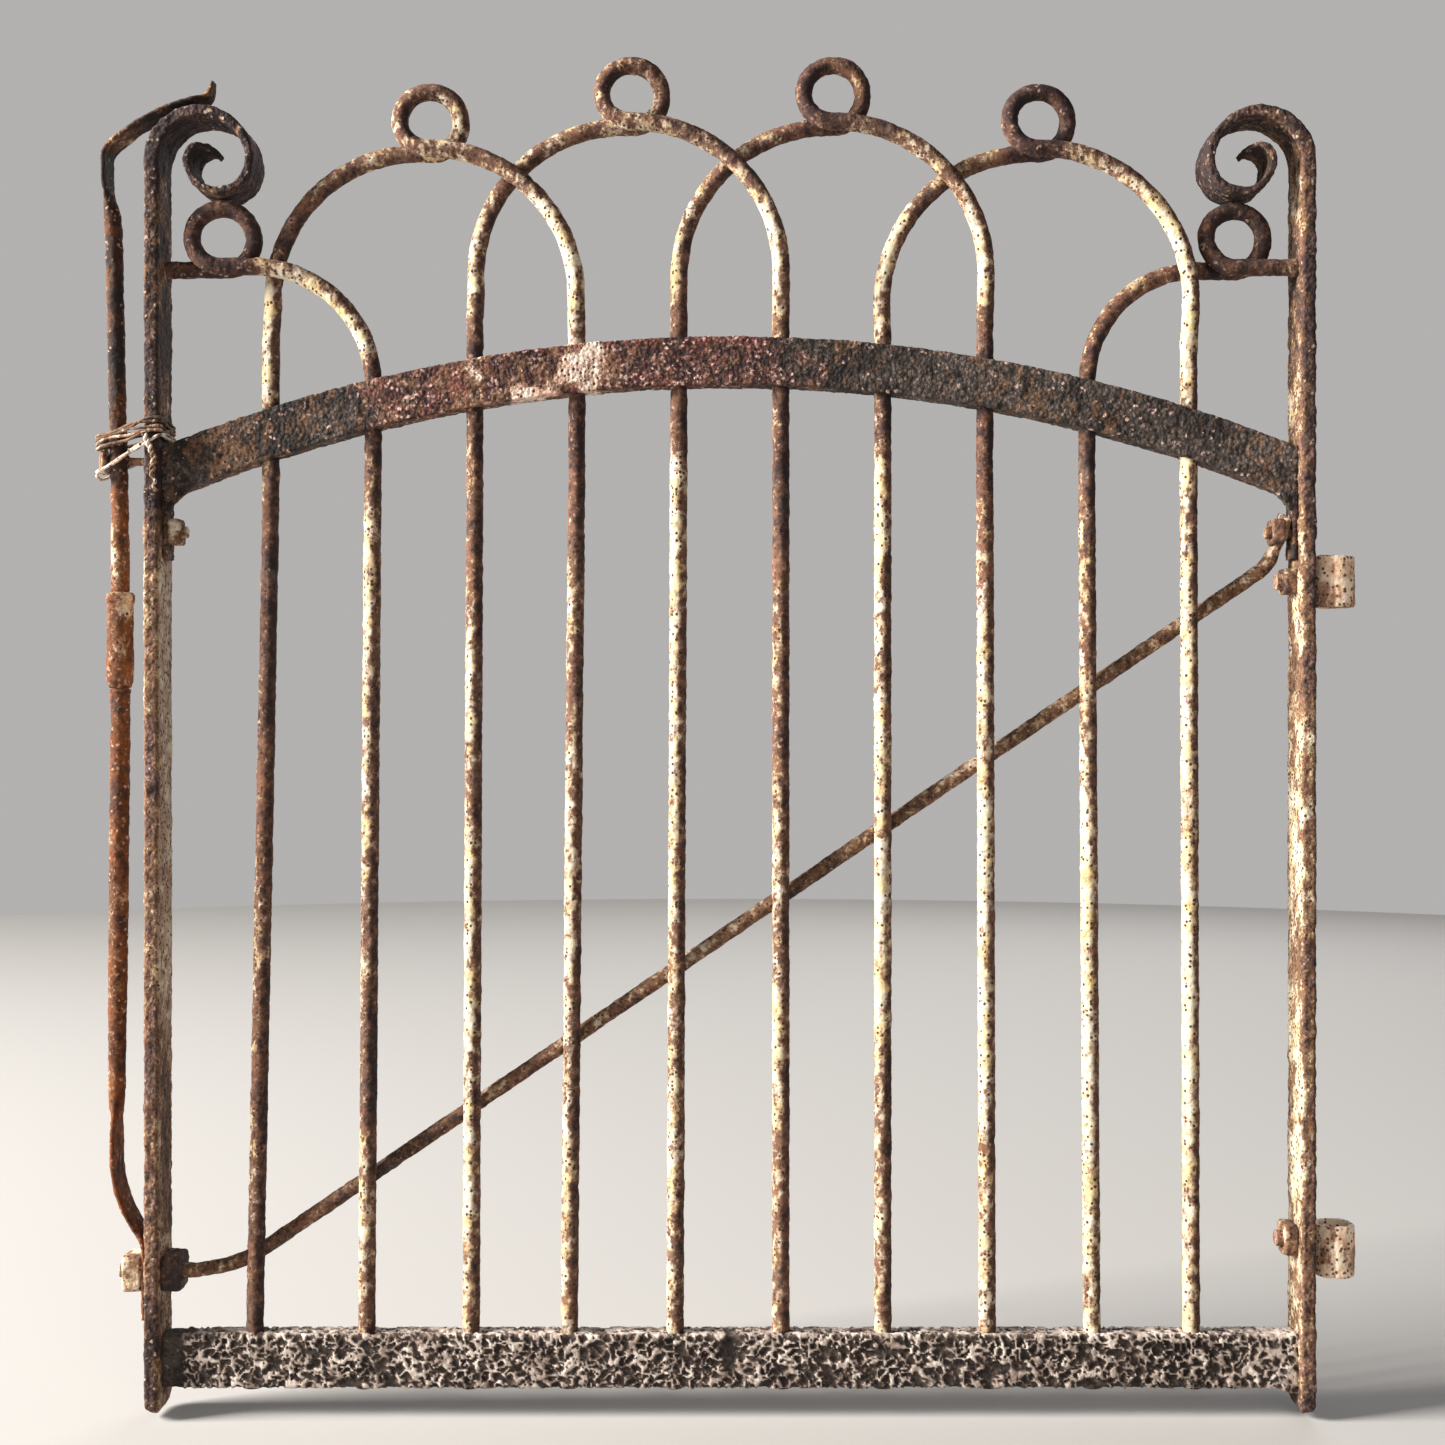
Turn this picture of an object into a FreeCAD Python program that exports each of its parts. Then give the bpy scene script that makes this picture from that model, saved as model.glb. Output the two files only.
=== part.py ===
import FreeCAD, Part
import math
import os

from FreeCAD import Placement, Rotation, Vector

# A wrought-iron garden gate: two flat stiles with scrolled tops, an arched top rail and a straight
# bottom rail of channel, hairpin rods that are pickets and arches at once, a diagonal tension rod,
# two hinge eyes and a long spring latch.
#
# Every piece is drawn in gate coordinates: X from the middle of the gate, Y from the plane of the
# pickets (front is -Y), Z from the feet of the stiles. Its Placement then moves it so that the
# part's origin is the centre of the lower hinge eye.

DIMENSIONS = {
    "picket_pitch": 76.2,
    "rod_diameter": 12.7,
    "stile_outside": 433,
    "stile_thickness": 11,
    "stile_depth": 38,
    "scroll_level": 931,
    "rail_depth": 19,
    "rail_height": 38,
    "rail_wall": 3,
    "rail_end_gap": 0.1,
    "arch_radius": 1127,
    "arch_crown": 802,
    "arch_rail_height": 36,
    "rail_foot_level": 637,
    "rail_bolt_level": 657,
    "rail_bolt_radius": 4.75,
    "bottom_rail_level": 21.5,
    "strand_offset": 7.2,
    "outer_strand_offset": 10.4,
    "ring_radius": 21.9,
    "hairpin_radius": 114.3,
    "outer_hairpin_top": 942,
    "inner_hairpin_top": 962,
    "half_hairpin_level": 854,
    "brace_diameter": 11,
    "brace_foot_level": 106,
    "brace_back": 12.5,
    "brace_nut_width": 27,
    "brace_nut_height": 14,
    "hinge_axis": 451,
    "upper_hinge_level": 620,
    "lower_hinge_level": 122,
    "lower_bolt_level": 130,
    "eye_radius": 15,
    "eye_bore_radius": 10.8,
    "eye_height": 38,
    "eye_shank_radius": 6,
    "upper_nut_width": 19,
    "lower_nut_width": 23,
    "hinge_nut_height": 10,
    "leaf_width": 26,
    "leaf_thickness": 3.5,
    "leaf_split_level": 172,
    "leaf_gap": 0.3,
    "latch_offset": 22.7,
    "strap_width": 25,
    "strap_thickness": 3,
    "guide_level": 710,
    "guide_pin_radius": 3,
    "guide_hole_radius": 4.3,
    "guide_head_radius": 10,
    "roller_radius": 10,
    "roller_clearance": 0.08,
    "roller_foot_level": 541,
    "roller_length": 71,
    "wire_radius": 1.1,
}

# How far each picket's foot has settled sideways from its true pitch, left to right.
FOOT_SHIFTS = (-13, -5, -3, -6, -3, 0, 0, 2, 4, 2)

FIT = 0.25
LEAN_FIT = 0.85
X_AXIS = Vector(1, 0, 0)
Z_AXIS = Vector(0, 0, 1)

doc = FreeCAD.newDocument("GardenGate")
sheet = doc.addObject("Spreadsheet::Sheet", "Sizes")
for row, (alias, value) in enumerate(DIMENSIONS.items(), start=1):
    sheet.set(f"A{row}", alias)
    sheet.set(f"B{row}", str(value))
    sheet.setAlias(f"B{row}", alias)
doc.recompute()

SUB_PARTS = []


def size(alias):
    """One driving dimension, as a number of millimetres."""
    return float(sheet.get(alias))


def bind(item, formulas):
    """Bind properties of a document object to the sheet."""
    for name, formula in formulas.items():
        item.setExpression(name, formula)


def sub_part(item, name):
    """Name a finished sub-part and set it on the hinge axis."""
    item.Label = name
    bind(item, {
        "Placement.Base.x": "-Sizes.hinge_axis",
        "Placement.Base.z": "-Sizes.lower_hinge_level",
    })
    SUB_PARTS.append(item)


# ---------------------------------------------------------------- lines, arcs and routes


def polygon(points):
    """Straight edges that join the points and close."""
    return [Part.LineSegment(p, q) for p, q in zip(points, points[1:] + points[:1])]


def rectangle(x_low, x_high, y_low, y_high):
    """The four edges of a rectangle in a sketch."""
    corners = ((x_low, y_low), (x_high, y_low), (x_high, y_high), (x_low, y_high))
    return polygon([Vector(x, y) for x, y in corners])


def circle(x, y, radius):
    """A circle in a sketch."""
    return Part.Circle(Vector(x, y), Z_AXIS, radius)


def bow(centre, radius, start, end):
    """An arc in a sketch from one angle to another, in degrees, through the angle midway."""
    def point(angle):
        turn = math.radians(angle)
        return Vector(centre[0] + radius * math.cos(turn), centre[1] + radius * math.sin(turn))
    return Part.Arc(point(start), point((start + end) / 2), point(end))


def route(corners):
    """Straight runs joined by tangent arcs.

    Each corner is a point and the radius that rounds it; the first and last radii are not used.
    """
    points = [Vector(*corner[0]) for corner in corners]
    edges = []
    here = points[0]
    for before, corner, after, (_, radius) in zip(points, points[1:], points[2:], corners[1:]):
        along = (corner - before).normalize()
        away = (after - corner).normalize()
        turn = along.getAngle(away)
        if turn < 1e-6:
            continue
        reach = radius * math.tan(turn / 2)
        start = corner - along * reach
        end = corner + away * reach
        bisector = (away - along).normalize()
        middle = corner + bisector * (radius / math.cos(turn / 2) - radius)
        spare = (start - here).dot(along)
        if spare < 0:
            raise ValueError(f"the bend at {corner} is {-spare:.2f} mm too long for its runs")
        edges.append(Part.LineSegment(here, start))
        edges.append(Part.Arc(start, middle, end))
        here = end
    edges.append(Part.LineSegment(here, points[-1]))
    return edges


# ---------------------------------------------------------------- document helpers


def section(name, kind, level_placement, formulas):
    """A circle or ellipse that a sweep or loft passes through."""
    outline = doc.addObject(kind, name)
    outline.Placement = level_placement
    bind(outline, formulas)
    return outline


def swept_rod(name, corners, diameter):
    """A round rod swept along a route; diameter is a formula of the sheet."""
    path = doc.addObject("Part::Feature", name + "_route")
    path.Shape = Part.Wire([edge.toShape() for edge in route(corners)])
    start = Vector(*corners[0][0])
    heading = Vector(*corners[1][0]) - start
    outline = section(name + "_section", "Part::Circle", Placement(start, Rotation(Z_AXIS, heading)),
                      {"Radius": f"({diameter}) / 2"})
    rod = doc.addObject("Part::Sweep", name + "_rod")
    rod.Sections = [outline]
    rod.Spine = (path, [])
    rod.Solid = True
    rod.Frenet = False
    return rod


def cylinder(name, base, axis, radius, height):
    """A cylinder whose radius and height are formulas of the sheet."""
    item = doc.addObject("Part::Cylinder", name)
    item.Placement = Placement(base, Rotation(Z_AXIS, axis))
    bind(item, {"Radius": radius, "Height": height})
    return item


def fused(name, items):
    """One piece made of several shapes."""
    union = doc.addObject("Part::MultiFuse", name)
    union.Shapes = items
    return union


def cut(name, base, tool):
    """A shape with another taken out of it."""
    result = doc.addObject("Part::Cut", name)
    result.Base = base
    result.Tool = tool
    return result


def new_body(name):
    return doc.addObject("PartDesign::Body", name)


def sketch_on(body, name, role, edges, offset=0.0):
    """A sketch on one of the body's own origin planes."""
    plane = next(item for item in body.Origin.OriginFeatures if item.Role == role)
    sketch = body.newObject("Sketcher::SketchObject", name)
    sketch.AttachmentSupport = [(plane, "")]
    sketch.MapMode = "FlatFace"
    sketch.AttachmentOffset = Placement(Vector(0, 0, offset), Rotation())
    sketch.addGeometry(edges, False)
    return sketch


def pad(body, name, sketch, length):
    """A pad on both sides of its sketch; length is a formula of the sheet."""
    feature = body.newObject("PartDesign::Pad", name)
    feature.Profile = sketch
    feature.SideType = "Symmetric"
    bind(feature, {"Length": length})
    body.Tip = feature
    doc.recompute()


def drill(body, name, role, holes):
    """Holes right through a body, normal to one of its origin planes."""
    before = body.Shape.Volume
    feature = body.newObject("PartDesign::Pocket", name)
    feature.Profile = sketch_on(body, name + "_outline", role, holes)
    feature.SideType = "Symmetric"
    feature.Type = "ThroughAll"
    body.Tip = feature
    doc.recompute()
    if body.Shape.Volume >= before:
        raise RuntimeError(f"{name} cut nothing")


# ---------------------------------------------------------------- stiles

HALF_ROD = size("rod_diameter") / 2
OUTSIDE = size("stile_outside")
INSIDE = OUTSIDE - size("stile_thickness")
BRACE_HOLE = size("brace_diameter") / 2 + FIT
HALF_HAIRPIN_TENON = 4.75


def stile_outline():
    """The edge of the right stile: a straight bar whose top rolls inwards as a tapering scroll.

    The scroll is half circles that meet on one level, each smaller than the last.
    """
    level = size("scroll_level")
    outer_bows = ((392.6, 40.4, 0, 180), (378.2, 26.0, 180, 360), (390.7, 13.5, 0, 140))
    inner_bows = ((390.3, 31.7, 0, 180), (378.8, 20.2, 180, 360), (389.8, 9.2, 0, 140))
    foot_bevel = 5
    edges = [
        Part.LineSegment(Vector(OUTSIDE, foot_bevel), Vector(OUTSIDE, level)),
        Part.LineSegment(Vector(INSIDE, level), Vector(INSIDE, foot_bevel)),
        Part.LineSegment(Vector(INSIDE, foot_bevel), Vector(INSIDE + 2, 0)),
        Part.LineSegment(Vector(INSIDE + 2, 0), Vector(OUTSIDE - 2, 0)),
        Part.LineSegment(Vector(OUTSIDE - 2, 0), Vector(OUTSIDE, foot_bevel)),
    ]
    for bows in (outer_bows, inner_bows):
        edges += [bow((x, level), radius, start, end) for x, radius, start, end in bows]
    outer_tip = edges[-4].EndPoint
    inner_tip = edges[-1].EndPoint
    edges.append(Part.LineSegment(outer_tip, inner_tip))
    return edges


def reflected(edges):
    """Sketch edges reflected from the right of the gate to the left."""
    flip = FreeCAD.Matrix(-1, 0, 0, 0, 0, 1, 0, 0, 0, 0, 1, 0, 0, 0, 0, 1)
    result = []
    for edge in edges:
        start = flip.multiply(edge.StartPoint)
        end = flip.multiply(edge.EndPoint)
        if isinstance(edge, Part.LineSegment):
            result.append(Part.LineSegment(start, end))
        else:
            middle = edge.value((edge.FirstParameter + edge.LastParameter) / 2)
            result.append(Part.Arc(start, flip.multiply(middle), end))
    return result


def tenon_slot():
    """The mortise for the bottom rail's web, in a sketch that looks along the gate."""
    front = -size("rail_depth") / 2
    low = size("bottom_rail_level") + 6
    high = size("bottom_rail_level") + size("rail_height") - 6
    return rectangle(front - 0.05, front + size("rail_wall") + 0.05, low - 0.05, high + 0.05)


def make_stile(name, edges, holes):
    body = new_body(name)
    pad(body, name + "_bar", sketch_on(body, name + "_edge", "XZ_Plane", edges), "Sizes.stile_depth")
    drill(body, name + "_holes", "YZ_Plane", holes + tenon_slot())
    sub_part(body, name)


RAIL_BOLT_HOLE = circle(0, size("rail_bolt_level"), size("rail_bolt_radius") + FIT)
EYE_SHANK_HOLE = size("eye_shank_radius") + FIT
STRAND = size("strand_offset")
OUTER_STRAND = size("outer_strand_offset")
STUB = 2 * STRAND - OUTER_STRAND
make_stile("latch_stile", reflected(stile_outline()), [
    RAIL_BOLT_HOLE,
    circle(0, size("brace_foot_level"), BRACE_HOLE),
    circle(0, size("guide_level"), size("guide_pin_radius") + 0.1),
    circle(STUB, size("half_hairpin_level"), HALF_HAIRPIN_TENON + 0.05),
])
make_stile("hinge_stile", stile_outline(), [
    RAIL_BOLT_HOLE,
    circle(0, size("upper_hinge_level"), EYE_SHANK_HOLE),
    circle(0, size("lower_bolt_level"), EYE_SHANK_HOLE),
    circle(-STUB, size("half_hairpin_level"), HALF_HAIRPIN_TENON + 0.05),
])

# ---------------------------------------------------------------- rails

RAIL_FRONT = -size("rail_depth") / 2
RAIL_BACK = size("rail_depth") / 2
WALL = size("rail_wall")
PICKETS = [(index - 4.5) * size("picket_pitch") for index in range(10)]
FEET = [x + shift for x, shift in zip(PICKETS, FOOT_SHIFTS)]
RAIL_END = INSIDE - size("rail_end_gap")
RAIL_FOOT_THICKNESS = 4
TENON_SHOULDER = 6
FLARE_REACH = 34


def channel(low, high):
    """The section of a rail: a web at the front with two flanges that point back."""
    return polygon([
        Vector(RAIL_FRONT, low), Vector(RAIL_BACK, low), Vector(RAIL_BACK, low + WALL),
        Vector(RAIL_FRONT + WALL, low + WALL), Vector(RAIL_FRONT + WALL, high - WALL),
        Vector(RAIL_BACK, high - WALL), Vector(RAIL_BACK, high), Vector(RAIL_FRONT, high),
    ])


def make_top_rail():
    """Channel rolled to an arch, its ends turned down as feet against the stiles."""
    crown = size("arch_crown")
    centre = crown - size("arch_radius")
    height = size("arch_rail_height")
    body = new_body("top_rail")
    outline = sketch_on(body, "top_rail_section", "YZ_Plane", channel(crown - height, crown))
    outline.addGeometry(Part.LineSegment(Vector(-10, centre), Vector(10, centre)), True)
    arch = body.newObject("PartDesign::Revolution", "top_rail_arch")
    arch.Profile = outline
    arch.ReferenceAxis = (outline, ["Axis0"])
    arch.Midplane = True
    arch.Angle = 2 * math.degrees(math.asin(OUTSIDE / (size("arch_radius") - height))) + 1
    body.Tip = arch
    doc.recompute()
    ends = [edge for side in (-1, 1)
            for edge in rectangle(*sorted((side * RAIL_END, side * (OUTSIDE + 60))), 500, 900)]
    drill(body, "top_rail_ends", "XZ_Plane", ends)
    drill(body, "top_rail_picket_holes", "XY_Plane", [circle(x, 0, HALF_ROD + FIT) for x in PICKETS])
    shoulder = 684
    foot = size("rail_foot_level")
    turned_down = []
    for side in (-1, 1):
        turned_down += polygon([
            Vector(side * RAIL_END, foot), Vector(side * RAIL_END, shoulder + 20),
            Vector(side * (RAIL_END - RAIL_FOOT_THICKNESS), shoulder + 20),
            Vector(side * (RAIL_END - RAIL_FOOT_THICKNESS), foot),
        ])
    feet_edge = sketch_on(body, "top_rail_feet_edge", "XZ_Plane", turned_down)
    pad(body, "top_rail_feet", feet_edge, "Sizes.rail_depth")
    flares = []
    for side in (-1, 1):
        flares += polygon([
            Vector(side * (RAIL_END - 3), shoulder - 9),
            Vector(side * (RAIL_END - 3), shoulder + 12),
            Vector(side * (RAIL_END - FLARE_REACH), shoulder + 19),
            Vector(side * (RAIL_END - FLARE_REACH), shoulder + 8),
        ])
    flare_sketch = sketch_on(body, "top_rail_flare_edge", "XZ_Plane", flares, -(RAIL_FRONT + WALL / 2))
    pad(body, "top_rail_flares", flare_sketch, "Sizes.rail_wall")
    drill(body, "top_rail_bolt_holes", "YZ_Plane", [RAIL_BOLT_HOLE])
    sub_part(body, "top_rail")


def make_bottom_rail():
    """Straight channel whose web ends are tenons, flush in the mortises of the stiles."""
    low = size("bottom_rail_level")
    body = new_body("bottom_rail")
    section = channel(low, low + size("rail_height"))
    section_sketch = sketch_on(body, "bottom_rail_section", "YZ_Plane", section)
    between_stiles = "2 * (Sizes.stile_outside - Sizes.stile_thickness - Sizes.rail_end_gap)"
    pad(body, "bottom_rail_channel", section_sketch, between_stiles)
    high = low + size("rail_height")
    tenon = rectangle(RAIL_FRONT, RAIL_FRONT + WALL, low + TENON_SHOULDER, high - TENON_SHOULDER)
    tenon_sketch = sketch_on(body, "bottom_rail_tenon", "YZ_Plane", tenon)
    pad(body, "bottom_rail_tenons", tenon_sketch, "2 * Sizes.stile_outside")
    holes = [circle(x, 0, HALF_ROD + LEAN_FIT) for x in FEET]
    drill(body, "bottom_rail_picket_holes", "XY_Plane", holes)
    sub_part(body, "bottom_rail")


make_top_rail()
make_bottom_rail()

# ---------------------------------------------------------------- hairpin rods

RAIL_FOOT = size("bottom_rail_level") - 1.5
SETTLED_RADIUS = 900
RING_RADIUS = size("ring_radius")
RING_CORNER = RING_RADIUS * 0.99
PEEN_SPREAD = 2
PEEN_HEIGHT = 2.4


def rail_top(x):
    """The height of the top rail's upper edge at a place along the gate."""
    radius = size("arch_radius")
    return size("arch_crown") - radius + math.sqrt(radius ** 2 - x ** 2)


def leaning_leg(index):
    """A picket up to the top rail: it leans from its settled foot and straightens below the rail."""
    x = PICKETS[index]
    return [((FEET[index], 0, RAIL_FOOT), 0), ((x, 0, rail_top(x) - 60), SETTLED_RADIUS)]


def leg(index, strand, springing):
    """A picket from its peened foot to the springing of its arch.

    Just above the rail it bends out of the picket plane to its strand, in two equal arcs.
    """
    x = PICKETS[index]
    start = max(springing - 44, rail_top(x) + 1)
    quarter = (springing - start) / 4
    turn = math.atan(abs(strand) / (2 * quarter))
    radius = 0.97 * quarter / math.tan(turn / 2)
    s_bend = [((x, 0, start + quarter), radius), ((x, strand, springing - quarter), radius)]
    return leaning_leg(index) + s_bend


def ring(x, level, back, front):
    """A full turn of the rod that climbs from the back strand and comes down to the front one."""
    height = level + 2 * RING_RADIUS
    middle = (back + front) / 2
    half_width = math.hypot(RING_RADIUS, (back - middle) / 2)
    return [
        ((x + half_width, back, level), RING_CORNER),
        ((x + half_width, middle, height), RING_CORNER),
        ((x - half_width, middle, height), RING_CORNER),
        ((x - half_width, front, level), RING_CORNER),
    ]


def peened_foot(name, x):
    """The end of a picket, spread under the bottom rail's lower flange."""
    base = Vector(x, 0, size("bottom_rail_level") - PEEN_HEIGHT - 0.1)
    radius = f"Sizes.rod_diameter / 2 + {PEEN_SPREAD}"
    return cylinder(name, base, Z_AXIS, radius, str(PEEN_HEIGHT))


def make_hairpin(name, left, right, top_alias, ring_shift):
    """A rod that rises as one picket, arches over with a ring at its crown and falls as another."""
    level = size(top_alias)
    middle = (PICKETS[left] + PICKETS[right]) / 2
    radius = size("hairpin_radius") - abs(ring_shift) - 0.5
    springing = level - radius - 0.2
    corners = leg(left, STRAND, springing)
    corners.append(((PICKETS[left], STRAND, level), radius))
    corners += ring(middle + ring_shift, level, STRAND, -STRAND)
    corners.append(((PICKETS[right], -STRAND, level), radius))
    corners += reversed(leg(right, -STRAND, springing))
    rod = swept_rod(name, corners, "Sizes.rod_diameter")
    ends = (("left", left), ("right", right))
    feet = [peened_foot(f"{name}_foot_{side}", FEET[index]) for side, index in ends]
    sub_part(fused(name, [rod] + feet), name)


make_hairpin("hairpin_1", 0, 3, "outer_hairpin_top", 5)
make_hairpin("hairpin_2", 2, 5, "inner_hairpin_top", 3)
make_hairpin("hairpin_3", 4, 7, "inner_hairpin_top", 1)
make_hairpin("hairpin_4", 6, 9, "outer_hairpin_top", 2)


HALF_RING = 378
HALF_HAIRPIN_RADIUS = 86


def make_half_hairpin(name, index, side):
    """A rod that rises as one picket, arches to a ring and ends as a tenon in the nearer stile.

    side is -1 at the latch stile, where the picket is the front strand, and 1 at the hinge stile.
    The picket's strand stands further out than the stub's, to pass the outermost hairpin's leg.
    """
    level = size("half_hairpin_level")
    x = PICKETS[index]
    picket = leaning_leg(index) + [((x, 0, level), HALF_HAIRPIN_RADIUS)]
    stub = [((side * (INSIDE - 0.1), side * -STUB, level), 0)]
    shoulder = Vector(min(side * OUTSIDE, side * (INSIDE - 2)), side * -STUB, level)
    if side < 0:
        corners = stub + ring(side * HALF_RING, level, STUB, -OUTER_STRAND) + list(reversed(picket))
    else:
        corners = picket + ring(side * HALF_RING, level, OUTER_STRAND, -STUB) + stub
    rod = swept_rod(name, corners, "Sizes.rod_diameter")
    length = "Sizes.stile_thickness + 2"
    tenon = cylinder(name + "_tenon", shoulder, X_AXIS, str(HALF_HAIRPIN_TENON), length)
    foot = peened_foot(name + "_foot", FEET[index])
    sub_part(fused(name, [rod, tenon, foot]), name)


make_half_hairpin("half_hairpin_left", 1, -1)
make_half_hairpin("half_hairpin_right", 8, 1)

# ---------------------------------------------------------------- diagonal tension rod

BOLT_LEVEL = size("rail_bolt_level")
FOOT_FACE = RAIL_END - RAIL_FOOT_THICKNESS
BRACE_FLAT_THICKNESS = 5
BRACE_FLAT_WIDTH = 25
BRACE_FLAT_LENGTH = 30
BRACE_BACK = size("brace_back")


def make_brace():
    """A round rod from a threaded end in the latch stile to a flattened end under a rail bolt."""
    foot = size("brace_foot_level")
    corners = [
        ((-OUTSIDE - 22, 0, foot), 0),
        ((-398, 0, foot), 24),
        ((-367, BRACE_BACK, foot + 2), 60),
        ((404, BRACE_BACK, 632), 26),
        ((FOOT_FACE - 5.6, BRACE_BACK - 4, 656), 0),
    ]
    rod = swept_rod("brace_rod", corners, "Sizes.brace_diameter")
    flat = doc.addObject("Part::Box", "brace_flat")
    flat_start = Vector(FOOT_FACE - BRACE_FLAT_THICKNESS - 0.1, -9.5, BOLT_LEVEL - 17)
    flat.Placement = Placement(flat_start, Rotation())
    flat.Length = BRACE_FLAT_THICKNESS
    flat.Width = BRACE_FLAT_WIDTH
    flat.Height = BRACE_FLAT_LENGTH
    hole = cylinder("brace_flat_hole", Vector(FOOT_FACE - 30, 0, BOLT_LEVEL), X_AXIS,
                    f"Sizes.rail_bolt_radius + {FIT}", "40")
    nut_room = doc.addObject("Part::Box", "brace_nut_room")
    nut_room.Placement = Placement(Vector(FOOT_FACE - 30, -12, BOLT_LEVEL - 11), Rotation())
    nut_room.Length = 24.9
    nut_room.Width = 40
    nut_room.Height = 40
    bar = fused("brace_bar", [rod, flat])
    sub_part(cut("brace", bar, fused("brace_room", [hole, nut_room])), "brace_rod")


make_brace()

# ---------------------------------------------------------------- bolts and nuts


NUT_BEVEL = 0.07


def make_square_nut(name, face, side, level, width, height, bore):
    """A square nut on an axis along X, seated at the plane x = face and standing out towards side."""
    body = new_body(name)
    half = width / 2
    flat = half - width * NUT_BEVEL
    block = polygon([
        Vector(-half, level - flat), Vector(-flat, level - half), Vector(flat, level - half),
        Vector(half, level - flat), Vector(half, level + flat), Vector(flat, level + half),
        Vector(-flat, level + half), Vector(-half, level + flat),
    ])
    edges = block + [circle(0, level, bore)]
    outline = sketch_on(body, name + "_edge", "YZ_Plane", edges, face + side * height / 2)
    pad(body, name + "_block", outline, str(height))
    sub_part(body, name)


def turned_along_x(name, level, outline):
    """A body of revolution about an axis along X; outline is its half section in (x, radius)."""
    body = new_body(name)
    raised = [Vector(x, level + radius) for x, radius in outline]
    sketch = sketch_on(body, name + "_section", "XZ_Plane", polygon(raised))
    low = outline[0][0]
    sketch.addGeometry(Part.LineSegment(Vector(low, level), Vector(low + 1, level)), True)
    turn = body.newObject("PartDesign::Revolution", name + "_turn")
    turn.Profile = sketch
    turn.ReferenceAxis = (sketch, ["Axis0"])
    turn.Angle = 360
    body.Tip = turn
    doc.recompute()
    return body


BOLT_RADIUS = size("rail_bolt_radius")
RAIL_NUT_WIDTH = 19
RAIL_NUT_HEIGHT = 9


def make_rail_bolt(side, grip):
    """A round-headed bolt, its head outside the stile, with its square nut inside."""
    word = "left" if side < 0 else "right"
    head = side * (OUTSIDE + 0.05)
    nut_face = side * (INSIDE - grip)
    end = nut_face - side * (RAIL_NUT_HEIGHT + 4)
    outline = [
        (end, 0), (end, BOLT_RADIUS - 1), (end + side, BOLT_RADIUS), (head, BOLT_RADIUS),
        (head, 8.5), (head + side * 2.4, 8), (head + side * 4.2, 5.6), (head + side * 5, 0),
    ]
    body = turned_along_x(f"rail_bolt_{word}", BOLT_LEVEL, outline)
    sub_part(body, f"rail_bolt_{word}")
    nut_sizes = (RAIL_NUT_WIDTH, RAIL_NUT_HEIGHT, BOLT_RADIUS)
    make_square_nut(f"rail_nut_{word}", nut_face, -side, BOLT_LEVEL, *nut_sizes)


make_rail_bolt(-1, 4.2)
make_rail_bolt(1, 9.4)

LEAF = size("leaf_thickness")
BRACE_FOOT = size("brace_foot_level")
for nut_name, nut_face, nut_side in (
    ("brace_inner_nut", -INSIDE + 0.05, 1),
    ("brace_outer_nut", -OUTSIDE - LEAF - 0.2, -1),
):
    make_square_nut(nut_name, nut_face, nut_side, BRACE_FOOT, size("brace_nut_width"),
                    size("brace_nut_height"), size("brace_diameter") / 2)

# ---------------------------------------------------------------- hinge eyes


def make_hinge_eye(name, level, bolt_level, nut_width):
    """An eye rolled from flat bar on the end of a bolt that passes through the hinge stile."""
    axis = size("hinge_axis")
    body = new_body(name)
    barrel = [circle(axis, 0, size("eye_radius"))]
    ring_sketch = sketch_on(body, name + "_ring", "XY_Plane", barrel, level)
    pad(body, name + "_barrel", ring_sketch, "Sizes.eye_height")
    nut_height = size("hinge_nut_height")
    end = INSIDE - nut_height - 4.5
    middle = (end + axis) / 2
    shank = [circle(0, bolt_level, size("eye_shank_radius"))]
    shank_sketch = sketch_on(body, name + "_shank", "YZ_Plane", shank, middle)
    pad(body, name + "_bolt", shank_sketch, str(axis - end))
    drill(body, name + "_bore", "XY_Plane", [circle(axis, 0, size("eye_bore_radius"))])
    sub_part(body, name)
    make_square_nut(name.replace("eye", "nut"), INSIDE - 0.05, -1, bolt_level, nut_width, nut_height,
                    size("eye_shank_radius"))


UPPER_LEVEL = size("upper_hinge_level")
make_hinge_eye("upper_hinge_eye", UPPER_LEVEL, UPPER_LEVEL, size("upper_nut_width"))
LOWER_LEVEL = size("lower_hinge_level")
make_hinge_eye("lower_hinge_eye", LOWER_LEVEL, size("lower_bolt_level"), size("lower_nut_width"))

# ---------------------------------------------------------------- spring latch

ROD_X = -OUTSIDE - size("latch_offset")
LEAF_TOP_X = ROD_X - 2.6


def swept_flat(name, corners, width, thickness):
    """Flat bar swept along a route in the XZ plane that starts straight up."""
    body = new_body(name)
    x, _, z = corners[0][0]
    half_width = size(width) / 2
    half = size(thickness) / 2
    edges = rectangle(x - half, x + half, -half_width, half_width)
    outline = sketch_on(body, name + "_section", "XY_Plane", edges, z)
    flat_route = [((px, pz, 0), radius) for (px, _, pz), radius in corners]
    path = sketch_on(body, name + "_route", "XZ_Plane", route(flat_route))
    pipe = body.newObject("PartDesign::AdditivePipe", name + "_pipe")
    pipe.Profile = outline
    pipe.Spine = (path, [f"Edge{number + 1}" for number in range(path.GeometryCount)])
    body.Tip = pipe
    doc.recompute()
    return body


def leaf_corners(bottom, top):
    """The S-shaped run of the leaf spring, out from the stile to the line of the latch rod."""
    on_stile = -OUTSIDE - LEAF / 2 - 0.1
    first_turn = 128.5
    second_turn = 161.0
    return [
        ((on_stile, 0, bottom), 0),
        ((on_stile, 0, first_turn), 20.6),
        ((LEAF_TOP_X, 0, second_turn), 98),
        ((LEAF_TOP_X, 0, top), 0),
    ]


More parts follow.
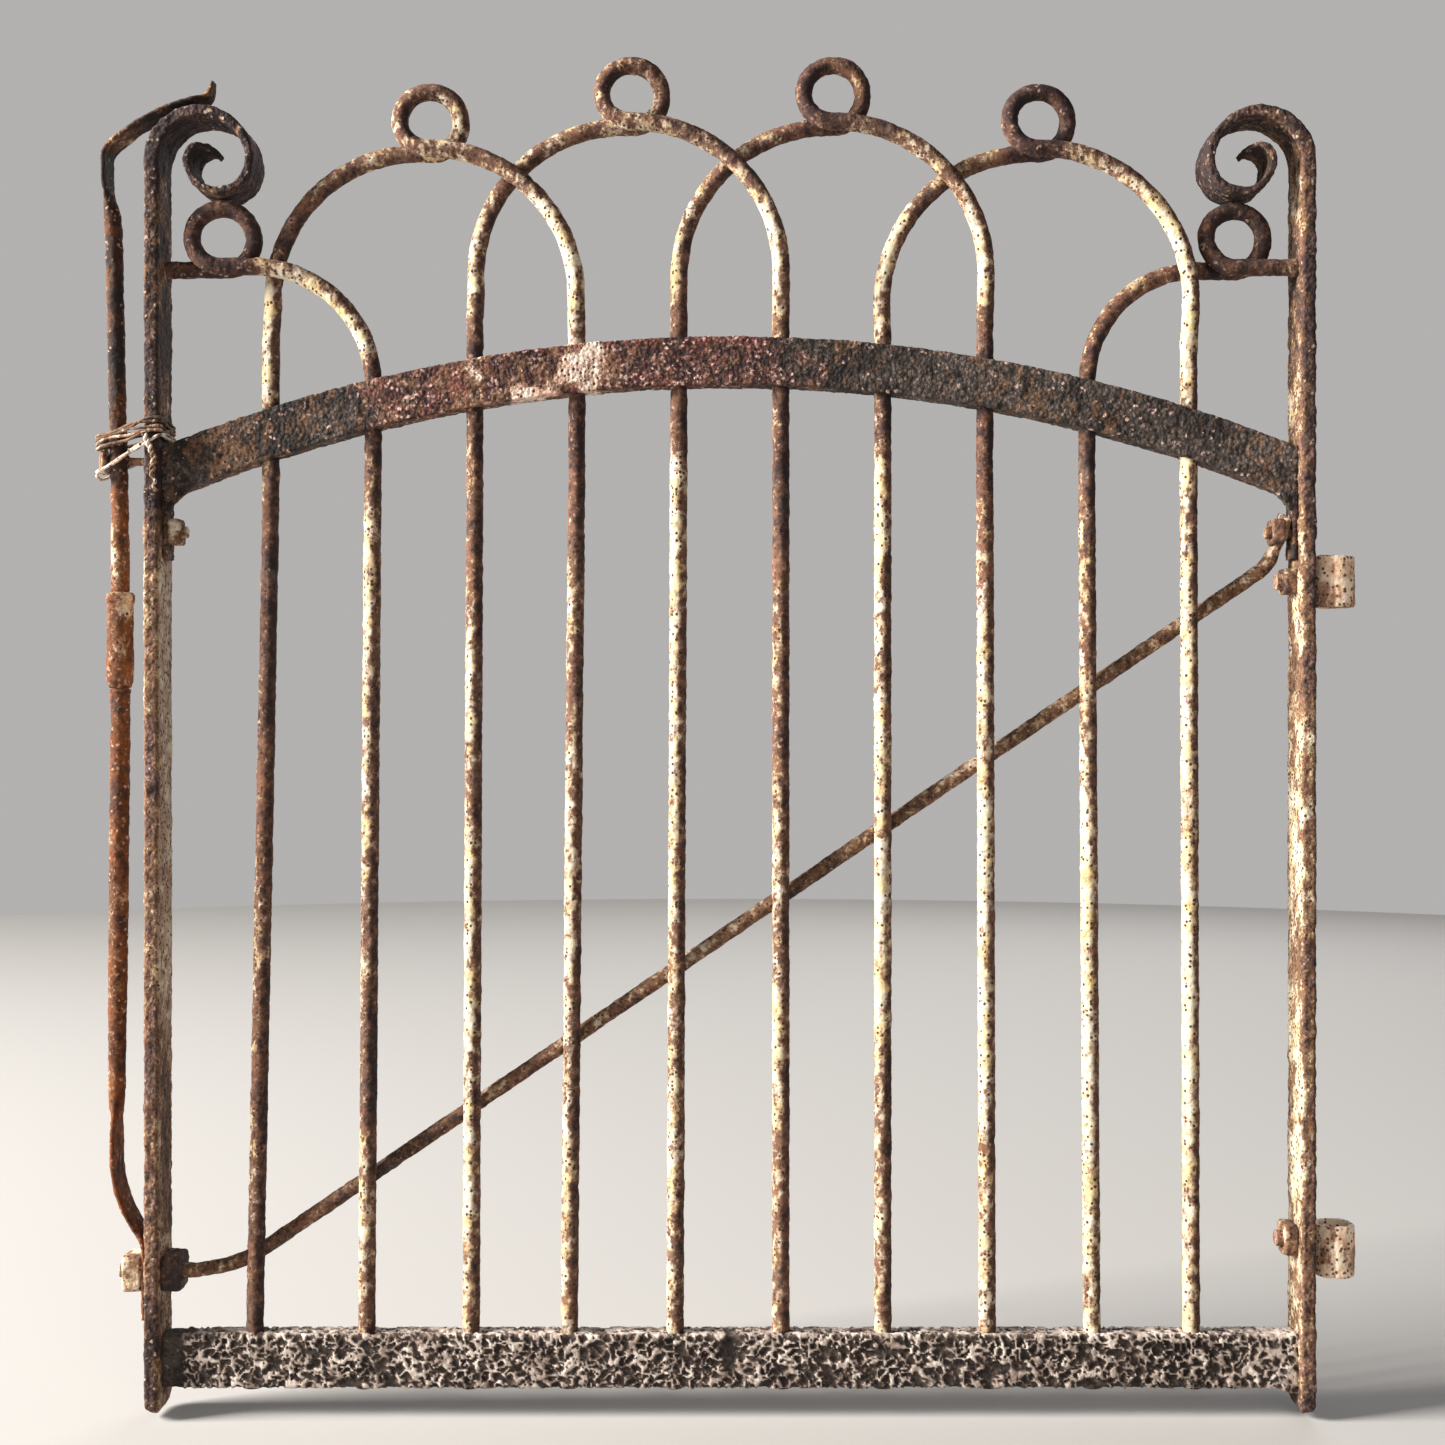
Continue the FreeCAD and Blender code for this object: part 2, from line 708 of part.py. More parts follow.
def slab(name, low, high):
    """A box that keeps only the levels between low and high."""
    box = doc.addObject("Part::Box", name)
    box.Placement = Placement(Vector(-OUTSIDE - 60, -60, low), Rotation())
    box.Length = 90
    box.Width = 120
    box.Height = high - low
    return box


def make_spring_foot():
    """The lower half of the leaf spring, clamped to the stile by the tension rod's outer nut."""
    leaf = swept_flat("leaf_lower", leaf_corners(72, 222), "leaf_width", "leaf_thickness")
    above = slab("above_split", size("leaf_split_level") - size("leaf_gap") / 2, 400)
    hole_radius = f"Sizes.brace_diameter / 2 + {FIT}"
    hole = cylinder("leaf_hole", Vector(-OUTSIDE - 20, 0, BRACE_FOOT), X_AXIS, hole_radius, "30")
    sub_part(cut("spring_foot", leaf, fused("leaf_waste", [above, hole])), "latch_spring_foot")


def transition(name, round_level, flat_level, round_x, flat_x, width, thickness):
    """The forged change from round rod to flat bar: a wedge that starts inside the rod."""
    core = size("rod_diameter") / 2 / math.sqrt(2) - 0.05
    wedge = doc.addObject("Part::Wedge", name)
    rising = flat_level > round_level
    wedge.Ymin = min(round_level, flat_level)
    wedge.Ymax = max(round_level, flat_level)
    lower, upper = ("", "2") if rising else ("2", "")
    setattr(wedge, f"X{lower}min", round_x - core)
    setattr(wedge, f"X{lower}max", round_x + core)
    setattr(wedge, f"Z{lower}min", -core)
    setattr(wedge, f"Z{lower}max", core)
    bind(wedge, {
        f"X{upper}min": f"{flat_x} - Sizes.{thickness} / 2",
        f"X{upper}max": f"{flat_x} + Sizes.{thickness} / 2",
        f"Z{upper}min": f"-Sizes.{width} / 2",
        f"Z{upper}max": f"Sizes.{width} / 2",
    })
    wedge.Placement = Placement(Vector(0, 0, 0), Rotation(X_AXIS, 90))
    return wedge


def make_latch_bar():
    """The moving part of the latch: leaf, rod with a guide boss and a roller seat, thumb strap."""
    leaf = swept_flat("leaf_upper", leaf_corners(72, 222), "leaf_width", "leaf_thickness")
    split = size("leaf_split_level") + size("leaf_gap") / 2
    lower = cut("leaf_upper_cut", leaf, slab("below_split", 0, split))
    rod_top_x = ROD_X - 5
    rod = swept_rod("latch", [
        ((LEAF_TOP_X, 0, 236), 0),
        ((ROD_X, 0, 505), 2500),
        ((ROD_X, 0, 662), 2500),
        ((rod_top_x, 0, 892), 0),
    ], "Sizes.rod_diameter")
    swell = transition("leaf_swell", 242, 204, LEAF_TOP_X, LEAF_TOP_X, "leaf_width", "leaf_thickness")
    strap_x = rod_top_x - 4.5
    taper = transition("strap_swell", 887, 925, rod_top_x, strap_x, "strap_width", "strap_thickness")
    strap = swept_flat("strap", [
        ((strap_x, 0, 920), 0),
        ((strap_x, 0, 941.5), 15),
        ((-430.5, 0, 970.2), 150),
        ((-388.6, 0, 981.0), 7),
        ((-385.8, 0, 993.5), 0),
    ], "strap_width", "strap_thickness")
    boss = doc.addObject("Part::Sphere", "guide_boss")
    boss.Placement = Placement(Vector(ROD_X - 0.6, 0, size("guide_level")), Rotation())
    boss.Radius = 8.6
    seat = cylinder("roller_seat", Vector(ROD_X, 0, size("roller_foot_level") - 4.3), Z_AXIS,
                    "Sizes.rod_diameter / 2 + 1.6", "4")
    bar = fused("latch_blank", [lower, swell, rod, taper, strap, boss, seat])
    hole_start = Vector(ROD_X - 30, 0, size("guide_level"))
    hole = cylinder("guide_hole", hole_start, X_AXIS, "Sizes.guide_hole_radius", "60")
    sub_part(cut("latch", bar, hole), "latch_bar")


def make_roller():
    """A loose length of pipe that turns on the latch rod, where the keeper would bear."""
    body = new_body("latch_roller")
    level = size("roller_foot_level") + size("roller_length") / 2
    bore = HALF_ROD + size("roller_clearance")
    outline = [circle(ROD_X, 0, size("roller_radius")), circle(ROD_X, 0, bore)]
    section = sketch_on(body, "roller_section", "XY_Plane", outline, level)
    pad(body, "roller_pipe", section, "Sizes.roller_length")
    sub_part(body, "latch_roller")


def make_guide_pin():
    """A pin riveted through the stile; its head outside stops the latch rod from springing away."""
    level = size("guide_level")
    head = ROD_X - 9.6
    pin = size("guide_pin_radius")
    wide = size("guide_head_radius")
    inner = -INSIDE + 0.1
    outline = [
        (head - 5, 0), (head - 5, 5), (head - 3.4, wide - 2), (head, wide), (head, pin),
        (inner, pin), (inner, 6), (inner + 2, 5), (inner + 3, 0),
    ]
    sub_part(turned_along_x("latch_guide_pin", level, outline), "latch_guide_pin")


make_spring_foot()
make_latch_bar()
make_roller()
make_guide_pin()


def wire_loop(name, inner_level, nose_level):
    """A turn of binding wire round the stile and the latch rod, open by a hair in front."""
    reach = size("stile_depth") / 2 + 1.6
    nose = ROD_X - 16
    inner = -INSIDE + 1.7
    fall = (inner_level - nose_level) / (inner - nose)
    corner_level = inner_level - fall * (inner + OUTSIDE)
    corners = [
        ((-OUTSIDE + 1, -reach, corner_level), 0),
        ((inner, -reach, inner_level), 2.4),
        ((inner, reach, inner_level), 2.4),
        ((-OUTSIDE, reach, corner_level), 12),
        ((nose, 9, nose_level), 8),
        ((nose, -9, nose_level), 8),
        ((-OUTSIDE - 2, -reach, corner_level), 0),
    ]
    return swept_rod(name, corners, "2 * Sizes.wire_radius")


wires = [
    wire_loop("tie_upper", 738, 723.5),
    wire_loop("tie_middle", 733, 725),
    wire_loop("tie_lower", 727.5, 696),
    swept_rod("tie_knot", [
        ((-430, -22.8, 727), 0),
        ((-421, -24.2, 708), 9),
        ((-424, -23.6, 694), 9),
        ((-420, -23.0, 672), 0),
    ], "2 * Sizes.wire_radius"),
]
sub_part(fused("tie", wires), "tie_wire")

# ---------------------------------------------------------------- check and write

doc.recompute()
for item in doc.Objects:
    if {"Invalid", "Error"} & set(item.State):
        raise RuntimeError(f"{item.Label} failed: {item.State}")
for item in SUB_PARTS:
    if item.Shape.isNull() or not item.Shape.isValid():
        raise RuntimeError(f"{item.Label} has no sound shape")
os.makedirs("parts", exist_ok=True)
for item in SUB_PARTS:
    item.Shape.exportStep(f"parts/{item.Label}.step")
    print(f"{item.Label}: {len(item.Shape.Solids)} solids, {item.Shape.Volume / 1000:.1f} cm3")
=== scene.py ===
"""A rusted wrought-iron garden gate with hairpin pickets, scrolled stiles and a spring latch.

Each piece of iron is a surface worked out with numpy: a profile carried along the line of the bar,
then raised and pitted by noise. The same noise is kept on the points as the "weather" attribute, so
the paint, the rust and the shape agree. Lengths are in metres. Shapes are drawn in gate coordinates,
X from the middle of the gate, Y from the plane of the pickets and Z from the feet of the stiles.
"""
import logging
import math
from dataclasses import dataclass, field
from enum import Enum

import bmesh
import bpy
import numpy as np
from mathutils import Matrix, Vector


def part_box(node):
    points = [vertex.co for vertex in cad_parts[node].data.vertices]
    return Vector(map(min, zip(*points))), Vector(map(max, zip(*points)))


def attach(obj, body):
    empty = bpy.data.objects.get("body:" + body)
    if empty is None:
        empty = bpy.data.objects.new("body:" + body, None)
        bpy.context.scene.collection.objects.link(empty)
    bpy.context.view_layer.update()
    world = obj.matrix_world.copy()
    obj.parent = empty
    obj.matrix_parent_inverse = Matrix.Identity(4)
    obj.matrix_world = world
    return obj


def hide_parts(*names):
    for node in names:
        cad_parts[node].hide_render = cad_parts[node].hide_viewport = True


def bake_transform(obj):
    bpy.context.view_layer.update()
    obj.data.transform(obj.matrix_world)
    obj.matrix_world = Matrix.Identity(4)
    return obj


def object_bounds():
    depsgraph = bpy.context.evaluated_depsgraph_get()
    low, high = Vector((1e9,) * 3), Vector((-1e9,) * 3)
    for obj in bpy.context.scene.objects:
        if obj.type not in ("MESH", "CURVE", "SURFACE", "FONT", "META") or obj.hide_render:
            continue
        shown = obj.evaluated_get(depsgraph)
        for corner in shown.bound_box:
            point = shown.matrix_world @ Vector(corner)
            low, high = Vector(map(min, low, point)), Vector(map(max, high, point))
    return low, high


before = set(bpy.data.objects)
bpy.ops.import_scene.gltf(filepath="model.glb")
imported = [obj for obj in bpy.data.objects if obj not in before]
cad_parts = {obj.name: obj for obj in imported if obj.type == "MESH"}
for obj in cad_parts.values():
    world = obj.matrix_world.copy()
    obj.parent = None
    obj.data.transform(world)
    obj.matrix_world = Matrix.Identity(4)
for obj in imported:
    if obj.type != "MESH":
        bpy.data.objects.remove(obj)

LOG = logging.getLogger("gate")
CAD_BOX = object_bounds()
Array = np.ndarray
Rgb = tuple[float, float, float]
ALONG_X = np.array((1.0, 0.0, 0.0))
ALONG_Y = np.array((0.0, 1.0, 0.0))
ALONG_Z = np.array((0.0, 0.0, 1.0))
PICKETS = 10
WELD_DISTANCE = 2e-6
SMALLEST_TURN = 1e-4


class Body(Enum):
    """The bodies of the model that a piece can ride on."""

    GATE = "gate"
    LATCH = "latch"
    ROLLER = "roller"


class Side(Enum):
    """The latch side and the hinge side of the gate, as the sign of X."""

    LATCH = -1
    HINGE = 1

    @property
    def word(self) -> str:
        """Left for the latch side and right for the hinge side, as the nodes say it."""
        return "left" if self is Side.LATCH else "right"


@dataclass(frozen=True)
class GatePlace:
    """Where the gate's own coordinates lie in the frame of the model."""

    middle: float
    feet: float

    @classmethod
    def from_stiles(cls) -> "GatePlace":
        """Take the middle and the feet of the gate from its two stiles."""
        latch_low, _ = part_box("latch_stile")
        _, hinge_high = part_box("hinge_stile")
        return cls((latch_low[0] + hinge_high[0]) / 2, latch_low[2])

    def offset(self) -> Array:
        """The gate's own zero, in the frame of the model."""
        return np.array((self.middle, 0.0, self.feet))


PLACE = GatePlace.from_stiles()


# ---------------------------------------------------------------- noise


def hashed(cell: Array, seed: int) -> Array:
    """A steady random number from 0 to 1 for each whole-numbered cell.

    Args:
        cell: whole numbers, shape (..., 3).
        seed: picks one of many such patterns.

    Returns:
        One number for each cell: its three numbers are multiplied by large primes, added, folded
        and scaled.
    """
    mixed = cell[..., 0] * 374761393 + cell[..., 1] * 668265263 + cell[..., 2] * 1103515245
    mixed = (mixed + seed * 144269504) & 0xFFFFFFFF
    mixed = ((mixed ^ (mixed >> 13)) * 1274126177) & 0xFFFFFFFF
    mixed = ((mixed ^ (mixed >> 15)) * 2246822519) & 0xFFFFFFFF
    return ((mixed ^ (mixed >> 16)) & 0xFFFFFF) / float(0x1000000)


def smooth_noise(points: Array, size: float, seed: int) -> Array:
    """Smooth noise from -1 to 1 with lumps of one size.

    Random numbers at the corners of cubes are mixed by 3t² - 2t³ along each axis.
    """
    scaled = points / size + 1000.0
    cell = np.floor(scaled).astype(np.int64)
    part = scaled - cell
    part = part * part * (3.0 - 2.0 * part)
    total = np.zeros(points.shape[:-1])
    for corner in np.ndindex(2, 2, 2):
        weight = np.prod(np.where(corner, part, 1.0 - part), axis=-1)
        total += weight * hashed(cell + np.array(corner), seed)
    return 2.0 * total - 1.0


def fractal(points: Array, size: float, octaves: int, seed: int) -> Array:
    """Noise of several sizes: each octave is half the size of the last and 0.6 of its height."""
    total = np.zeros(points.shape[:-1])
    height = 1.0
    for octave in range(octaves):
        total += height * smooth_noise(points, size / 2 ** octave, seed + octave)
        height *= 0.6
    return total


def flakes(points: Array, size: float, seed: int) -> tuple[Array, Array, Array]:
    """Cells round scattered points, like scales of rust.

    Args:
        points: where to look, shape (..., 3).
        size: the usual width of a cell.
        seed: picks the pattern.

    Returns:
        The distance to the nearest scattered point and to the next nearest, both in cell widths,
        and a random number that is the same all over a cell.
    """
    scaled = points / size + 1000.0
    cell = np.floor(scaled).astype(np.int64)
    nearest = np.full(points.shape[:-1], 9.0)
    second = np.full(points.shape[:-1], 9.0)
    chosen = np.zeros(points.shape[:-1])
    for step in np.ndindex(3, 3, 3):
        near = cell + np.array(step) - 1
        place = near + np.stack([hashed(near, seed + axis) for axis in range(3)], axis=-1)
        distance = np.linalg.norm(place - scaled, axis=-1)
        closer = distance < nearest
        second = np.where(closer, nearest, np.minimum(second, distance))
        chosen = np.where(closer, hashed(near, seed + 7), chosen)
        nearest = np.minimum(nearest, distance)
    return nearest, second, chosen


def ease(low: float, high: float, values: Array) -> Array:
    """0 below low, 1 above high, and 3t² - 2t³ between."""
    part = np.clip((values - low) / (high - low), 0.0, 1.0)
    return part * part * (3.0 - 2.0 * part)


# ---------------------------------------------------------------- lines and surfaces


def straight(start: Array, end: Array, step: float) -> Array:
    """Points from start to end, about a step apart."""
    count = max(2, math.ceil(float(np.linalg.norm(end - start)) / step) + 1)
    return start + np.linspace(0.0, 1.0, count)[:, None] * (end - start)


def bent(corners: list[tuple[tuple[float, ...], float]], step: float) -> Array:
    """The line of a bent bar: straight runs joined by tangent arcs.

    At a corner that turns by t with radius r each run gives up r·tan(t/2), and the arc is
    centre - inward·r·cos(a) + forward·r·sin(a) for a from 0 to t.

    Args:
        corners: each point of the route with the radius that rounds it.
        step: the distance between points.

    Returns:
        Points along the line, shape (n, 3).
    """
    route = [np.array(point, float) for point, _ in corners]
    runs = [straight(route[0], route[0] + 1e-9, step)[:1]]
    start = route[0]
    for before, corner, after, (_, radius) in zip(route, route[1:], route[2:], corners[1:]):
        forward = (corner - before) / np.linalg.norm(corner - before)
        onward = (after - corner) / np.linalg.norm(after - corner)
        turn = math.acos(float(np.clip(forward @ onward, -1.0, 1.0)))
        if turn < SMALLEST_TURN or radius <= 0:
            continue
        inward = onward - forward * (forward @ onward)
        inward /= np.linalg.norm(inward)
        arc_start = corner - forward * radius * math.tan(turn / 2)
        runs.append(straight(start, arc_start, step)[1:])
        angles = np.linspace(0.0, turn, max(3, math.ceil(radius * turn / step) + 1))[1:, None]
        centre = arc_start + inward * radius
        runs.append(centre - inward * radius * np.cos(angles) + forward * radius * np.sin(angles))
        start = runs[-1][-1]
    runs.append(straight(start, route[-1], step)[1:])
    return np.concatenate(runs)


def lengths(line: Array) -> Array:
    """The distance along a line at each of its points."""
    return np.concatenate([[0.0], np.cumsum(np.linalg.norm(np.diff(line, axis=0), axis=1))])


def resampled(line: Array, step: float) -> Array:
    """The same line with its points evenly spaced."""
    along = lengths(line)
    even = np.linspace(0.0, along[-1], max(2, round(along[-1] / step)) + 1)
    return np.stack([np.interp(even, along, line[:, axis]) for axis in range(3)], axis=1)


def bent_bar(corners: list[tuple[tuple[float, ...], float]], step: float) -> Array:
    """The line of a bent bar with its points evenly spaced."""
    return resampled(bent(corners, step), step)


def round_profile(count: int) -> Array:
    """A circle of radius 1, as (across, deep) pairs."""
    angles = np.linspace(0.0, 2 * math.pi, count, endpoint=False)
    return np.stack([np.cos(angles), np.sin(angles)], axis=1)


def outline_profile(corners: list[tuple[float, float]], radius: float, count: int) -> Array:
    """A closed outline with rounded corners, its points evenly spaced from the middle of a side."""
    middle = tuple((a + b) / 2 for a, b in zip(corners[-1], corners[0]))
    route = [((*middle, 0.0), 0.0)]
    route += [((*corner, 0.0), radius) for corner in corners]
    route.append(((*middle, 0.0), 0.0))
    line = bent(route, radius / 4)
    along = lengths(line)
    even = np.linspace(0.0, along[-1], count, endpoint=False)
    return np.stack([np.interp(even, along, line[:, axis]) for axis in range(2)], axis=1)


def rectangle_profile(width: float, depth: float, radius: float, count: int) -> Array:
    """A rounded rectangle, as (across, deep) pairs."""
    half_width, half_depth = width / 2, depth / 2
    corners = [(half_width, half_depth), (-half_width, half_depth),
               (-half_width, -half_depth), (half_width, -half_depth)]
    return outline_profile(corners, radius, count)


def like_circle(outline: Array) -> Array:
    """The outline with its points in a circle's order, so that the two can be mixed."""
    turns = np.arctan2(outline[:, 1], outline[:, 0]) % (2 * math.pi)
    return outline[np.argsort(turns)]


def carried(line: Array, profile: Array, facing: Array) -> Array:
    """A profile carried along a line.

    Point (i, j) is line[i] + across·A + deep·D, where D is the facing direction made square to the
    line and A = D × tangent.

    Args:
        line: points along the middle of the bar, shape (n, 3).
        profile: one outline (m, 2), or one for each point of the line (n, m, 2).
        facing: the direction of the profile's second axis.

    Returns:
        A grid of points, shape (n, m, 3).
    """
    tangent = np.gradient(line, axis=0)
    tangent /= np.linalg.norm(tangent, axis=1, keepdims=True)
    deep = facing - tangent * (tangent @ facing)[:, None]
    deep /= np.linalg.norm(deep, axis=1, keepdims=True)
    across = np.cross(deep, tangent)
    outlines = np.broadcast_to(profile, (len(line), *profile.shape[-2:]))
    return (line[:, None] + outlines[..., :1] * across[:, None] + outlines[..., 1:] * deep[:, None])


def rounded_ends(grid: Array, first_depth: float, rings: int = 5,
                 last_depth: float | None = None) -> Array:
    """Close a grid's two ends with domes.

    Each end gets rings that shrink to a point as cos(a) while they stand out by depth·sin(a).
    """
    angles = np.linspace(0.0, math.pi / 2, rings + 1)[1:, None, None]
    caps = []
    last = first_depth if last_depth is None else last_depth
    for end, inner, depth in ((0, 1, first_depth), (-1, -2, last)):
        centre = grid[end].mean(axis=0)
        outward = centre - grid[inner].mean(axis=0)
        outward /= np.linalg.norm(outward)
        caps.append(centre + (grid[end] - centre) * np.cos(angles) + outward * depth * np.sin(angles))
    return np.concatenate([caps[0][::-1], grid, caps[1]])


def turned(section: Array, centre: tuple[float, float, float], axis: Array, count: int) -> Array:
    """A lathe-turned surface: each (along, radius) pair is swung round an axis through centre."""
    first = ALONG_Z if abs(axis[2]) < 0.5 else ALONG_Y
    second = np.cross(axis, first)
    angles = np.linspace(0.0, 2 * math.pi, count, endpoint=False)[None, :, None]
    spoke = np.cos(angles) * first + np.sin(angles) * second
    return np.array(centre) + section[:, :1, None] * axis + section[:, 1:, None] * spoke


def drawn_section(corners: list[tuple[float, float]], radius: float, step: float,
                  closed: bool) -> Array:
    """The half section of a turned piece, its corners slightly rounded, as (along, radius)."""
    route = [((*corner, 0.0), radius) for corner in corners]
    if closed:
        middle = tuple((a + b) / 2 for a, b in zip(corners[-1], corners[0]))
        route = [((*middle, 0.0), 0.0), *route, ((*middle, 0.0), 0.0)]
    line = resampled(bent(route, step / 2), step)
    return line[:-1, :2] if closed else line[:, :2]


# ---------------------------------------------------------------- weathered shells


@dataclass(frozen=True)
class Corrosion:
    """How rust and old paint shape a surface: heights in metres, sizes of their lumps in metres."""

    lump: float = 0.00035
    lump_size: float = 0.007
    scale: float = 0.0003
    scale_size: float = 0.0045
    pit: float = 0.0004
    pit_size: float = 0.006
    chip: float = 0.0002
    spread: float = 0.36
    patch_size: float = 0.0034
    broad: float = 0.24
    broad_size: float = 0.030


@dataclass
class Shell:
    """One closed surface: a grid of points, round in its second direction.

    looped tells that it also closes in its first direction; otherwise its two ends are points.
    The four weather channels are paint, tone, relief and hue, each from about 0 to 1.
    """

    grid: Array
    looped: bool = False
    weather: Array = field(init=False)

    def __post_init__(self) -> None:
        """Start with bare iron."""
        self.weather = np.zeros((*self.grid.shape[:2], 4))

    def normals(self) -> Array:
        """Unit normals from the cross product of the grid's two directions, facing outwards."""
        edge = "wrap" if self.looped else "edge"
        padded = np.pad(self.grid, ((1, 1), (0, 0), (0, 0)), mode=edge)
        down = padded[2:] - padded[:-2]
        round_pad = np.pad(self.grid, ((0, 0), (1, 1), (0, 0)), mode="wrap")
        across = round_pad[:, 2:] - round_pad[:, :-2]
        normal = np.cross(across, down)
        size = np.linalg.norm(normal, axis=2, keepdims=True)
        normal = normal / np.maximum(size, 1e-15)
        volume = np.einsum("ijk,ijk->", self.grid - self.grid.mean(axis=(0, 1)),
                           np.cross(across, down))
        return normal if volume > 0 else -normal

    def corrode(self, corrosion: Corrosion, coverage: Array | float, tone: Array | float,
                hue: Array | float, seed: int, stain_and_shade: Array | float = 0.0) -> "Shell":
        """Raise and pit the surface, and note its paint, tone, relief and hue.

        Paint stays where coverage + spread·fine noise + broad·wide noise is over a half, and
        stands proud by the chip. Patches run along the bars, which are mostly upright.
        Height = lump·noise + scale·(a step for each flake) - pit·(a cup in some cells).

        Args:
            corrosion: the heights and sizes.
            coverage: how much paint is left, 0 to 1.
            tone: how bright the rust is, 0 to 1.
            hue: 0 for grey-brown and 1 for red or orange rust.
            seed: picks the pattern.
            stain_and_shade: lowers the relief, so that a face darkens and takes stain as a hollow
                does, 0 to 1; on the rods it is painted shade on the side turned from the key light.

        Returns:
            The shell itself.
        """
        points = self.grid
        streaked = points * np.array((1.0, 1.0, 0.6))
        paint = (coverage + corrosion.spread * fractal(streaked, corrosion.patch_size, 3, seed)
                 + corrosion.broad * fractal(streaked, corrosion.broad_size, 2, seed + 10))
        lumps = fractal(points, corrosion.lump_size, 3, seed + 20)
        nearest, second, chosen = flakes(points, corrosion.scale_size, seed + 40)
        pit_distance, _, pit_pick = flakes(points, corrosion.pit_size, seed + 60)
        painted = ease(0.42, 0.6, paint)
        steps = (chosen - 0.5) * ease(0.0, 0.22, second - nearest) * (1.0 - 0.6 * painted)
        cups = ease(0.55, 0.1, pit_distance) * (pit_pick > 0.45) * (1.0 - 0.7 * painted)
        height = (corrosion.lump * lumps + corrosion.scale * steps + corrosion.chip * painted
                  - corrosion.pit * cups)
        reach = corrosion.lump + corrosion.scale / 2 + corrosion.pit
        # A lower relief darkens the rust and stains the paint; on the rods stain_and_shade is painted
        # shade.
        relief = 0.6 + 0.5 * height / max(reach, 1e-9) - stain_and_shade
        shade = tone + 0.35 * fractal(points, 0.02, 3, seed + 80) + 0.25 * (chosen - 0.5)
        tint = hue + 0.3 * fractal(points, 0.035, 2, seed + 90)
        self.grid = points + self.normals() * height[..., None]
        self.weather = np.stack(np.broadcast_arrays(paint, shade, relief, tint), axis=-1)
        return self

    def faces(self, first: int) -> Array:
        """The quads of the grid, as point numbers that start at first."""
        rows, columns = self.grid.shape[:2]
        index = first + np.arange(rows * columns).reshape(rows, columns)
        if self.looped:
            index = np.concatenate([index, index[:1]])
        index = np.concatenate([index, index[:, :1]], axis=1)
        return np.stack([index[:-1, :-1], index[:-1, 1:], index[1:, 1:], index[1:, :-1]], axis=-1)


def signed_volume(points: Array, quads: Array) -> float:
    """Six times the volume inside quads, positive when they face outwards."""
    first, second, third, fourth = (points[quads[:, corner]] for corner in range(4))
    one = np.einsum("ij,ij->", first, np.cross(second, third))
    return float(one + np.einsum("ij,ij->", first, np.cross(third, fourth)))


def make_piece(name: str, shells: list[Shell]) -> bpy.types.Object:
    """Put closed shells into one mesh, in the frame of the model.

    Args:
        name: the piece's name.
        shells: its closed surfaces in gate coordinates.

    Returns:
        The new object, at the origin, with its "weather" attribute.
    """
    points, weather, faces = [], [], []
    first = 0
    for shell in shells:
        quads = shell.faces(first).reshape(-1, 4)
        flat = shell.grid.reshape(-1, 3)
        if signed_volume(flat - flat.mean(axis=0), quads - first) < 0:
            quads = quads[:, ::-1]
        points.append(flat)
        weather.append(shell.weather.reshape(-1, 4))
        faces.append(quads)
        first += len(flat)
    mesh = bpy.data.meshes.new(name)
    place = np.concatenate(points) + PLACE.offset()
    quads = np.concatenate(faces)
    mesh.vertices.add(len(place))
    mesh.vertices.foreach_set("co", place.astype(np.float32).ravel())
    mesh.loops.add(quads.size)
    mesh.loops.foreach_set("vertex_index", quads.astype(np.int32).ravel())
    mesh.polygons.add(len(quads))
    mesh.polygons.foreach_set("loop_start", np.arange(0, quads.size, 4, dtype=np.int32))
    mesh.polygons.foreach_set("use_smooth", np.ones(len(quads), dtype=bool))
    attribute = mesh.attributes.new("weather", "FLOAT_COLOR", "POINT")
    attribute.data.foreach_set("color", np.concatenate(weather).astype(np.float32).ravel())
    mesh.update(calc_edges=True)
    mesh.validate()
    piece = bpy.data.objects.new(name, mesh)
    bpy.context.scene.collection.objects.link(piece)
    close_poles(piece)
    return piece


def close_poles(piece: bpy.types.Object) -> None:
    """Weld the rings that shrink to a point at the ends of bars."""
    work = bmesh.new()
    work.from_mesh(piece.data)
    bmesh.ops.remove_doubles(work, verts=work.verts, dist=WELD_DISTANCE)
    work.to_mesh(piece.data)
    work.free()


# ---------------------------------------------------------------- finishes


def linear(red: float, green: float, blue: float) -> tuple[float, float, float, float]:
    """A display colour as the linear colour that a shader takes."""
    return (*(channel / 12.92 if channel <= 0.04045 else ((channel + 0.055) / 1.055) ** 2.4
              for channel in (red, green, blue)), 1.0)


